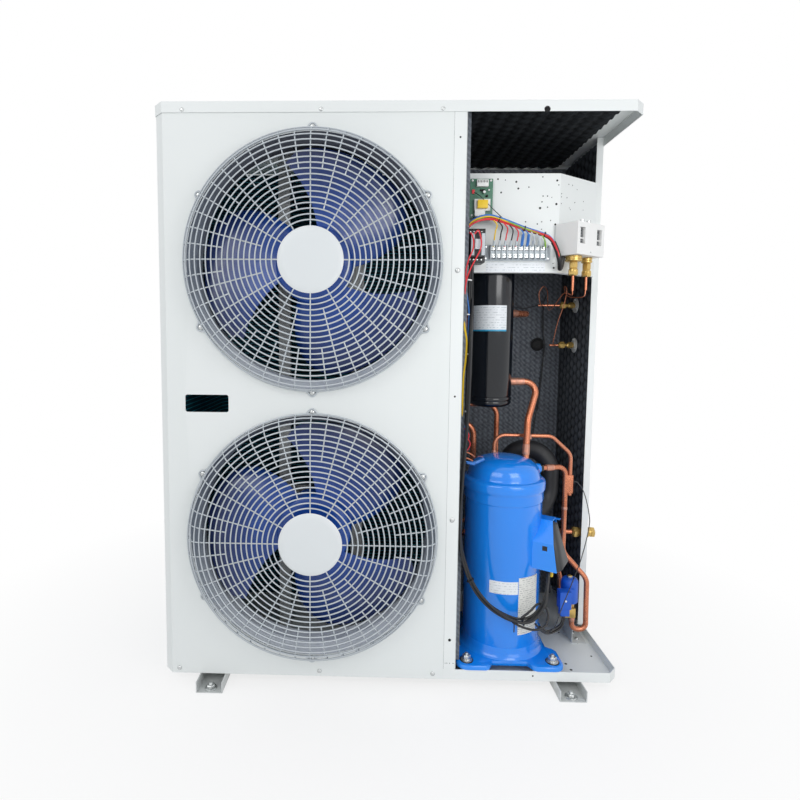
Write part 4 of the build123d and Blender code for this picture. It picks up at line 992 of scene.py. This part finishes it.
# ------------------------------------------------------------------ control plate and its devices
def plate_holes():
    """The many punched holes of a plate that serves several models, drawn as dark discs of painted shade."""
    # Each hole is a dark disc: painted shade.
    flat = Piece("plate_holes", "dark_gap")
    for x, z, radius in ((239, 1170, 2), (256, 1168, 1.2), (281, 1164, 2.4), (286, 1149, 2.3),
                         (310, 1152, 1.5), (247, 1140, 2), (341, 1175, 1.5), (374, 1167, 2.3),
                         (378, 1157, 1.3), (343, 1132, 1.5), (353, 1132, 1.5), (363, 1129, 1),
                         (341, 1119, 1.6), (337, 1105, 2.7), (354, 1107, 1.5), (374, 1114, 2.6),
                         (305, 1074, 1.5), (332, 1069, 1.6), (342, 1074, 1.3), (362, 1077, 1.3),
                         (373, 1068, 2.3), (342, 1057, 1.2), (371, 979, 1.3), (373, 969, 2.2)):
        flat.rod((x, bend_y - 0.12, z), (x, bend_y + 0.4, z), radius, 14)
    flat.finish()
    turned = Piece("turned_plate_holes", "dark_gap", place=switch_place)
    for x, z, radius in ((30, 1163, 1.3), (44, 1163, 1.3), (62, 1156, 1.0), (5, 1138, 1.3), (5, 1131, 1.2),
                         (25, 1132, 1.4), (5, 1116, 1.2), (55, 1125, 1.4), (88, 1132, 1.2), (88, 1112, 1.0),
                         (35, 1110, 1.0), (39, 1107, 1.2)):
        turned.rod((x, -0.12, z), (x, 0.4, z), radius, 12)
    turned.finish()


def terminal_strip():
    back = device_back
    strip = Piece("terminal_strip", "grey_plastic")
    strip.box((208, back - 8, 984), (362, back, 1020), 3.0)
    strip.box((222, back - 17, 990), (348, back - 7, 1013), 1.5)
    for number in range(11):
        x = 222 + terminal_pitch * number
        strip.box((x - 0.9, back - 23, 986), (x + 0.9, back - 7, 1018), 0.4)
    strip.finish(["terminal_block"])
    metal = Piece("terminal_screws", "steel")
    slots = Piece("terminal_slots", "dark_gap")
    for number in range(10):
        x = terminal_x(number)
        for z in (994, 1011):
            metal.box((x - 4.2, back - 18.2, z - 4.5), (x + 4.2, back - 16.8, z + 4.5), 0.3)
            metal.rod((x, back - 18, z), (x, back - 20.4, z), 3.0, 14, 0.6)
            # Dark slots in the screw heads (painted shade) and a dark strip under each clamp plate (a painted
            # shadow).
            slots.box((x - 2.6, back - 20.7, z - 0.45), (x + 2.6, back - 20.2, z + 0.45))
            slots.box((x - 4.6, back - 17.2, z - 5.6), (x + 4.6, back - 16.9, z - 4.6))
    for x in (214, 356):
        for z in (989, 1015):
            metal.rod((x, back - 8, z), (x, back - 9.6, z), 2.6, 14, 0.6)
    metal.finish()
    slots.finish()
    paper = Piece("terminal_label", "blank_label")
    paper.box((217, bend_y - 0.5, 958.5), (353, bend_y - 0.1, 981.5))
    paper.finish()


def controller():
    back = device_back
    board = Piece("controller_board_panel", "circuit_board")
    board.box((174, back - 10, 1081), (226, back - 8.4, 1168), 0.3)
    board.finish(["controller_board"])
    posts = Piece("controller_posts", "white_plastic")
    for x in (179, 221):
        for z in (1086, 1164):
            posts.rod((x, back - 12, z), (x, back, z), 2.4, 14, 0.6)
    posts.box((188, back - 20, 1149), (214, back - 10, 1164), 0.8)
    posts.box((183, back - 19, 1095), (219, back - 10, 1121), 1.0)
    posts.box((184, back - 22, 1082), (207, back - 10, 1097), 0.8)
    posts.finish()
    relay = Piece("controller_relay", "yellow_plastic")
    relay.box((189, back - 27.5, 1099), (212, back - 18, 1117), 1.0)
    relay.finish()
    dark = Piece("controller_parts", "dark_gap")
    dark.box((182, back - 13, 1075), (222, back - 6, 1082), 0.8)
    for number in range(7):
        dark.box((190 + 3.4 * number, back - 20.3, 1157), (191.4 + 3.4 * number, back - 19.8, 1162))
    dark.rod((212, back - 10, 1129), (212, back - 15, 1129), 2.6, 16, 0.6)
    dark.box((196, back - 12, 1140), (208, back - 10, 1144), 0.3)
    dark.finish()
    silver = Piece("controller_capacitors", "steel")
    silver.rod((205, back - 10, 1137), (205, back - 18, 1137), 3.4, 20, 0.7)
    silver.rod((216, back - 10, 1142), (216, back - 15, 1142), 2.2, 16, 0.6)
    silver.finish()
    red = Piece("controller_trimmer", "red_plastic")
    red.box((178, back - 14, 1134), (184, back - 10, 1143), 0.6)
    red.finish()


def contactor():
    case = Piece("contactor_case", "black_plastic")
    case.box((164.9, -168.3, 975), (204.9, -124.3, 1049), 2.0)
    case.box((168.9, -186.3, 985), (177.2, -167, 1039), 1.0)
    case.box((192.6, -186.3, 985), (200.9, -167, 1039), 1.0)
    case.box((176.8, -186.3, 1023.8), (193.0, -167, 1039), 0.4)
    case.box((176.8, -186.3, 985), (193.0, -167, 1000.2), 0.4)
    case.finish(["contactor_body"])
    grey = Piece("contactor_faces", "grey_plastic")
    grey.box((169.5, -186.6, 988), (177.0, -185.9, 1036), 0.2)
    grey.box((192.8, -186.6, 988), (200.2, -185.9, 1036), 0.2)
    grey.finish()
    dark = Piece("contactor_terminals", "dark_gap")
    metal = Piece("contactor_screws", "steel")
    for z in (981, 1042):
        for x in (171, 179, 187, 196):
            dark.box((x - 2.6, -168.6, z - 3), (x + 2.6, -168.2, z + 3))
            metal.rod((x, -168.4, z), (x, -169.8, z), 2.0, 12, 0.4)
    dark.box((165.5, -168.5, 1047), (204.4, -130, 1049.3), 0.3)
    dark.finish()
    metal.finish()


def pressure_switch():
    """Scale windows with tick marks, adjuster screws, bellows and unions on the dual switch."""
    front = -57.3
    windows = Piece("switch_scales", "dark_gap", place=switch_place)
    ticks = Piece("switch_ticks", "blank_label", place=switch_place)
    for middle in (7.0, 69.0):
        windows.box((middle - 8.9, front + 6.4, 1018.1), (middle + 8.9, front + 6.9, 1053.9))
        for number in range(15):
            z = 1020.5 + 2.3 * number
            wide = 6.2 if number % 5 == 0 else 3.6 + (number * 7 % 3)
            ticks.box((middle - 7.2, front + 6.1, z - 0.3), (middle - 7.2 + wide, front + 6.5, z + 0.3))
            ticks.box((middle + 7.4 - wide * 0.8, front + 6.1, z - 0.3), (middle + 7.4, front + 6.5, z + 0.3))
        ticks.box((middle - 0.5, front + 6.0, 1019), (middle + 0.5, front + 6.5, 1053))
    windows.finish()
    ticks.finish()
    spot = Piece("switch_front_screw", "steel", place=switch_place)
    spot.rod((38, front - 0.8, 1001), (38, front + 0.3, 1001), 1.8, 14, 0.4)
    for x in (8, 74):
        spot.rod((x, front + 12, 1066), (x, front + 12, 1067.4), 3.0, 14, 0.5)
    spot.finish()
    brass = Piece("switch_unions", "brass", place=switch_place)
    y = bellows_y
    for x, radius in zip(bellows_x, (18.6, 12.5)):
        brass.lathe([(radius - 1.5, 993.6), (radius, 992.4), (radius, 990.4), (radius - 1.2, 989.4),
                     (radius - 1.2, 986.4), (radius - 0.2, 985.2), (radius - 0.2, 983.4), (radius - 3, 981),
                     (7, 980)], (x, y, 0), steps=48)
        brass.hexagon((x, y, 966), (x, y, 980.5), 16.5, 1.4)
        brass.lathe([(7.0, 967), (9.6, 964), (10.2, 960), (9.6, 956), (7.4, 953.6)], (x, y, 0), steps=32)
        brass.hexagon((x, y, 949.9), (x, y, 964), 19, 2.2)
    brass.finish(["pressure_switch_bellows"])


# ------------------------------------------------------------------ thin tubes and wires
def smooth_line(points, steps=8):
    """A smooth curve through points, close together (Catmull-Rom)."""
    p = [Vector(q) for q in points]
    p = [p[0] * 2 - p[1]] + p + [p[-1] * 2 - p[-2]]
    line = []
    for a, b, c, d in zip(p, p[1:], p[2:], p[3:]):
        for step in range(steps):
            t = step / steps
            line.append(0.5 * ((2 * b) + (c - a) * t + (2 * a - 5 * b + 4 * c - d) * t * t
                               + (3 * b - a - 3 * c + d) * t * t * t))
    line.append(p[-2])
    return line


def wires(name, slot, diameter, routes, replaces=()):
    """Several wires of one colour as one piece."""
    piece = Piece(name, slot)
    for route in routes:
        piece.sweep(smooth_line(route), diameter / 2, 8)
    piece.finish(replaces)


def beside(line, side, lift, twist=0.0, phase=0.0, amount=0.0):
    """A strand that runs beside a line of points: shifted, and winding round it."""
    strand = []
    for number, point in enumerate(line):
        turn = phase + twist * number
        strand.append(point + Vector((amount * 0.3 * sin(turn), side + amount * cos(turn),
                                      lift + amount * sin(turn))))
    return strand


def capillaries():
    """The straight ends under the bellows, and the thin tubes that loop from them to the gauge ports."""
    tubes = Piece("capillary_copper", "copper")
    left, right = [switch_place @ Vector((x, bellows_y, 949.5)) for x in bellows_x]
    for top, drop in ((left, 34), (right, 30)):
        tubes.sweep([top, top - Vector((0, 0, drop))], 3.0, 14)
    one = [left - Vector((0, 0, 30)), left - Vector((0, -3, 44)), (404, -110, 912), (398, -60, 884),
           (404, -5, 878), (416, 40, 900), (420, 58, 930), (412, 66, 944), (402, 70, 926), (410, 80, 898),
           (424, 86, 893), (440, 88, 894)]
    two = [right - Vector((0, 0, 27)), right - Vector((2, -3, 44)), (440, -84, 904), (432, -50, 912),
           (436, -20, 936), (450, 0, 930), (452, 20, 896), (446, 44, 850), (444, 66, 804), (448, 80, 789),
           (458, 87, 787)]
    for route in (one, two):
        tubes.sweep(smooth_line(route), 1.15, 10)
    tubes.finish(["capillary_tubes"])


def terminal_loom():
    """The loom over the terminals: a black core, coloured wires round it and a drop to each terminal."""
    y = bend_y - 27
    core = smooth_line([(163, y - 2, 1050), (175, y - 3, 1064), (195, y - 3, 1074), (220, y - 1, 1077),
                        (256, y, 1067), (295, y, 1053), (326, y, 1044), (352, y - 1, 1033),
                        (366, y - 4, 1010), (374, y - 7, 982), (383, -137, 966), (387, -136, 978),
                        (388, -136, 993.7)])
    black = Piece("loom_core", "cable")
    black.sweep(beside(core, 1.0, -1.0), 3.6, 12)
    black.sweep(beside(core[:66], 2.5, 1.5, 0.16, 2.0, 2.2), 1.5)
    black.sweep(core[60:], 5.4, 14)
    black.finish(["main_harness"])
    layout = (("loom_blue", "wire_blue", ((-1.0, 4.8, 0.10, 0.0), (-2.4, 3.2, 0.10, 0.8))),
              ("loom_yellow", "yellow_plastic", ((-4.4, 1.2, 0.08, 1.4),)),
              ("loom_red", "red_plastic", ((-4.8, -1.8, 0.10, 3.2), (-3.4, -4.0, 0.12, 2.2))),
              ("loom_green", "green_plastic", ((-4.2, -0.4, 0.14, 4.4),)))
    for name, slot, strands in layout:
        piece = Piece(name, slot)
        for side, lift, twist, phase in strands:
            piece.sweep(beside(core[:70], side, lift, twist, phase, 1.3), 1.45, 8)
        piece.finish()
    drops = (("yellow_plastic", (0,)), ("cable", (1, 3)), ("red_plastic", (2, 4)), ("green_plastic", (9,)),
             ("grey_plastic", (7, 8)), ("wire_blue", (5, 6)))
    for slot, ways in drops:
        routes = []
        for way in ways:
            x = terminal_x(way)
            top = 1068 - 0.30 * (x - 240)
            shift = 9 - 1.6 * way
            routes.append([(x - 6 + shift * 0.2, y - 3, top), (x + shift * 0.4, y - 7, top - 12),
                           (x + 1, y - 4, top - 26), (x, y + 2, 1022), (x, y + 6, 1014)])
        wires("terminal_drops_" + slot, slot, 3.0, routes)
    sleeves = Piece("terminal_ferrules", "wire_blue")
    clear = Piece("terminal_sleeves", "grey_plastic")
    for way in (5, 6):
        x = terminal_x(way)
        sleeves.rod((x, y + 4, 1016), (x + 0.5, y - 4, 1040), 3.2, 12, 0.8)
    for way in (0, 1, 2, 3, 4, 7, 8, 9):
        x = terminal_x(way)
        clear.rod((x, y + 4, 1015), (x + 0.3, y, 1027), 2.6, 12, 0.6)
    sleeves.finish()
    clear.finish()
    ties = Piece("loom_ties", "black_plastic")
    for index in (28, 40, 52):
        here, ahead = core[index], core[index + 1]
        ties.lathe([(5.8, -1.4), (6.8, -1.2), (6.8, 1.2), (5.8, 1.4)], here, ahead - here, 20)
    ties.finish()
    wires("probe_lead", "cable", 1.8, [
        [(183, bend_y - 14, 1137), (196, y + 2, 1124), (222, y, 1098), (246, y, 1076)]])


def left_loom():
    """Wires of the contactor and the loom that goes down behind the front post."""
    wires("contactor_red_wires", "red_plastic", 3.2, [
        [(158, -178, 1030), (166, -192, 1036), (173, -195, 1020), (172, -196, 999), (164, -196, 980),
         (158, -196, 954), (158, -195, 930), (155, -194, 900), (157, -192, 868), (160, -190, 816),
         (158, -190, 770), (159, -190, 730)],
        [(176, -190, 1034), (184, -194, 1040), (190, -196, 1017), (188, -197, 999), (179, -197, 980),
         (168, -197, 958), (160, -196, 934), (157, -195, 905), (159, -190, 874), (163, -188, 840),
         (160, -187, 800), (162, -188, 750)]])
    wires("left_yellow_wire", "yellow_plastic", 5.0, [
        [(157, -192, 856), (158, -195, 828), (163, -195, 800), (162, -195, 760), (158, -195, 720),
         (157, -195, 671), (157, -194, 633), (154, -190, 604)]])
    wires("left_blue_strand", "wire_blue", 3.0, [
        [(160, -186, 936), (163, -188, 900), (168, -189, 860), (166, -189, 810), (163, -189, 760)],
        [(160, -189, 618), (165, -191, 596), (162, -192, 574), (157, -190, 556)]])
    wires("left_red_strand", "red_plastic", 3.0, [
        [(158, -189, 730), (161, -190, 700), (160, -190, 676), (157, -188, 650)],
        [(158, -192, 604), (168, -191, 598), (174, -190, 584), (166, -190, 572), (157, -190, 580)]])
    wires("left_black_loom", "cable", 6.0, [
        [(170, -176, 972), (168, -180, 904), (171, -180, 860), (174, -178, 829), (171, -180, 778),
         (169, -180, 734), (168, -180, 673), (167, -182, 625), (162, -186, 570), (160, -196, 500)],
        [(176, -172, 972), (173, -176, 904), (176, -176, 850), (178, -174, 820), (175, -176, 770),
         (173, -176, 726), (172, -176, 668), (171, -178, 610), (167, -184, 560), (163, -194, 492)]])
    wires("left_blue_wire", "wire_blue", 2.6, [
        [(168, -188, 604), (164, -191, 580), (158, -192, 560), (160, -186, 534), (170, -170, 522),
         (186, -156, 517), (200, -150, 516), (214, -146, 522)]])
    wires("left_red_loop", "red_plastic", 2.6, [
        [(158, -190, 572), (170, -188, 578), (178, -186, 566), (172, -186, 552), (158, -190, 548),
         (156, -192, 556), (160, -186, 540), (168, -182, 534)]])
    wires("left_copper_ends", "copper", 3.4, [
        [(156, -176, 541), (170, -172, 544), (184, -168, 538), (194, -160, 530)],
        [(156, -172, 527), (168, -170, 530), (180, -164, 526), (190, -158, 520)]])
    plugs = Piece("shell_lead_connectors", "wire_blue")
    plugs.rod((196, -150, 512.5), (219, -144, 522.0), 4.2, 16, 1.0)
    plugs.rod((176, -160, 517), (196, -152, 511), 3.6, 16, 1.0)
    plugs.finish()
    ties = Piece("left_loom_ties", "white_plastic")
    for z in (934, 858, 770, 640):
        ties.lathe([(8.0, -1.3), (9.0, -1.2), (9.0, 1.2), (8.0, 1.3)], (165, -184, z), (0.1, 0, 1), 20)
    ties.finish()


def black_bundle():
    """Cables from the contactor that hang before the shell and rise into its terminal box, and thin leads."""
    core = smooth_line([(178.9, -152.3, 974.7), (178.9, -152.3, 925), (172, -196, 830), (168, -203, 640),
                        (159, -204, 480), (156, -205, 410), (157, -205, 354), (165, -206, 304),
                        (190, -207, 241), (232, -208, 192), (284, -208, 163), (320, -206, 164),
                        (346, -202, 190), (359, -196, 226), (366, -182, 256), (372.7, -167.7, 271.7)])
    strands = Piece("compressor_cables", "cable")
    for side, lift, phase, amount, twist in ((0, 0, 0.0, 3.6, 0.035), (-1, 1, 1.7, 5.0, 0.045),
                                             (0, 2, 3.3, 5.6, 0.04), (-1, -1, 5.0, 5.0, 0.05)):
        strands.sweep(beside(core, side, lift, twist, phase, amount), 2.9, 12)
    strands.sweep(smooth_line([(280, -210, 160), (300, -211, 150), (330, -210, 143), (356, -204, 150),
                               (364, -196, 172), (356, -192, 192), (338, -196, 196), (322, -202, 184),
                               (300, -206, 168)]), 2.6, 12)
    strands.finish(["compressor_cable"])
    wires("solenoid_lead", "cable", 5.0, [
        [(435, -104, 124), (435, -105, 110), (426, -114, 98), (404, -132, 96), (378, -156, 104),
         (352, -184, 128), (334, -200, 152)],
        [(431, -106, 124), (430, -108, 114), (420, -120, 106), (398, -140, 106), (372, -166, 116),
         (348, -190, 140)]], ["control_leads"])
    wires("clip_sensor_wire", "motor_paint", 2.2, [
        [(463, -50, 441), (474, -52, 444), (490, -60, 419), (503, -64, 366), (503, -66, 330),
         (481, -84, 263), (446, -116, 208), (415, -140, 158), (399, -150, 122), (380, -164, 112)]])
    wires("rear_sensor_cable", "motor_paint", 2.6, [
        [(361, 196, 898), (397, 196, 892), (434, 196, 900), (455, 196, 903), (453, 196, 862),
         (455, 196, 833), (463, 196, 784), (458, 196, 730), (452, 196, 648), (444, 196, 581),
         (437, 196, 520)],
        [(414, 70, 898), (430, 100, 918), (446, 150, 926), (455, 196, 903), (457, 197, 850),
         (459, 197, 800), (460, 197, 740), (455, 197, 660), (448, 197, 590)]])
    ties = Piece("bundle_ties", "black_plastic")
    for index in (62, 84):
        ties.lathe([(7.4, -1.5), (8.4, -1.3), (8.4, 1.3), (7.4, 1.5)], core[index],
                   core[index + 1] - core[index], 20)
    ties.box((281, -213.6, 138), (283.5, -212.6, 158), 0.3)
    ties.finish()


casing_details()
foam_linings()
compressor()
compressor_labels()
terminal_box()
separator()
pipework()
brazed_joints()
solenoid()
valves()
plate_holes()
terminal_strip()
controller()
contactor()
pressure_switch()
capillaries()
terminal_loom()
left_loom()
black_bundle()


# ------------------------------------------------------------------ camera, floor and light
def add_camera():
    data = bpy.data.cameras.new("camera")
    data.lens = 23.83
    data.sensor_width = 36.0
    data.shift_x = 0.056
    data.shift_y = -0.030
    camera = bpy.data.objects.new("camera", data)
    camera.location = Vector((-51.9, -1380.7, 809.0)) * MM
    camera.rotation_euler = (radians(85.638), radians(-0.421), radians(1.585))
    bpy.context.scene.collection.objects.link(camera)
    bpy.context.scene.camera = camera


def area_light(name, place, size, power, aim=(0, 0, 650)):
    data = bpy.data.lights.new(name, "AREA")
    data.shape = "RECTANGLE"
    data.size, data.size_y = size
    data.energy = power
    light = bpy.data.objects.new(name, data)
    light.location = Vector(place) * MM
    toward = Vector(aim) * MM - light.location
    light.rotation_euler = toward.to_track_quat("-Z", "Y").to_euler()
    bpy.context.scene.collection.objects.link(light)


def add_floor():
    size = 9.0
    data = bpy.data.meshes.new("studio_floor")
    data.from_pydata([(-size, -size, 0), (size, -size, 0), (size, size, 0), (-size, size, 0)], [],
                     [(0, 1, 2, 3)])
    data.materials.append(looks["floor"].material)
    floor = bpy.data.objects.new("studio_floor", data)
    bpy.context.scene.collection.objects.link(floor)


def add_world():
    """Soft light for the object, and plain white for what the camera, gloss and glass see."""
    world = bpy.data.worlds.new("studio")
    bpy.context.scene.world = world
    world.use_nodes = True
    nodes = world.node_tree.nodes
    links = world.node_tree.links
    nodes.clear()
    path = nodes.new("ShaderNodeLightPath")
    seen = path.outputs["Is Camera Ray"]
    for ray in ("Is Glossy Ray", "Is Transmission Ray"):
        either = nodes.new("ShaderNodeMath")
        either.operation = "MAXIMUM"
        links.new(seen, either.inputs[0])
        links.new(path.outputs[ray], either.inputs[1])
        seen = either.outputs[0]
    soft = nodes.new("ShaderNodeBackground")
    soft.inputs["Color"].default_value = (0.93, 0.96, 1.0, 1.0)
    soft.inputs["Strength"].default_value = 0.59
    plain = nodes.new("ShaderNodeBackground")
    plain.inputs["Color"].default_value = (1.0, 1.0, 1.0, 1.0)
    plain.inputs["Strength"].default_value = 1.0
    blend = nodes.new("ShaderNodeMixShader")
    output = nodes.new("ShaderNodeOutputWorld")
    links.new(seen, blend.inputs[0])
    links.new(soft.outputs[0], blend.inputs[1])
    links.new(plain.outputs[0], blend.inputs[2])
    links.new(blend.outputs[0], output.inputs["Surface"])


add_camera()
add_floor()
add_world()
area_light("key", (-1700, -2600, 2400), (2.2, 1.6), 26)
area_light("fill", (1500, -2700, 1000), (1.6, 1.6), 11)
area_light("top", (0, -300, 3400), (2.4, 2.0), 6)
area_light("bay", (650, -1000, 1050), (0.5, 0.5), 2.8, (420, -80, 60))
bpy.context.scene.view_settings.view_transform = "Standard"
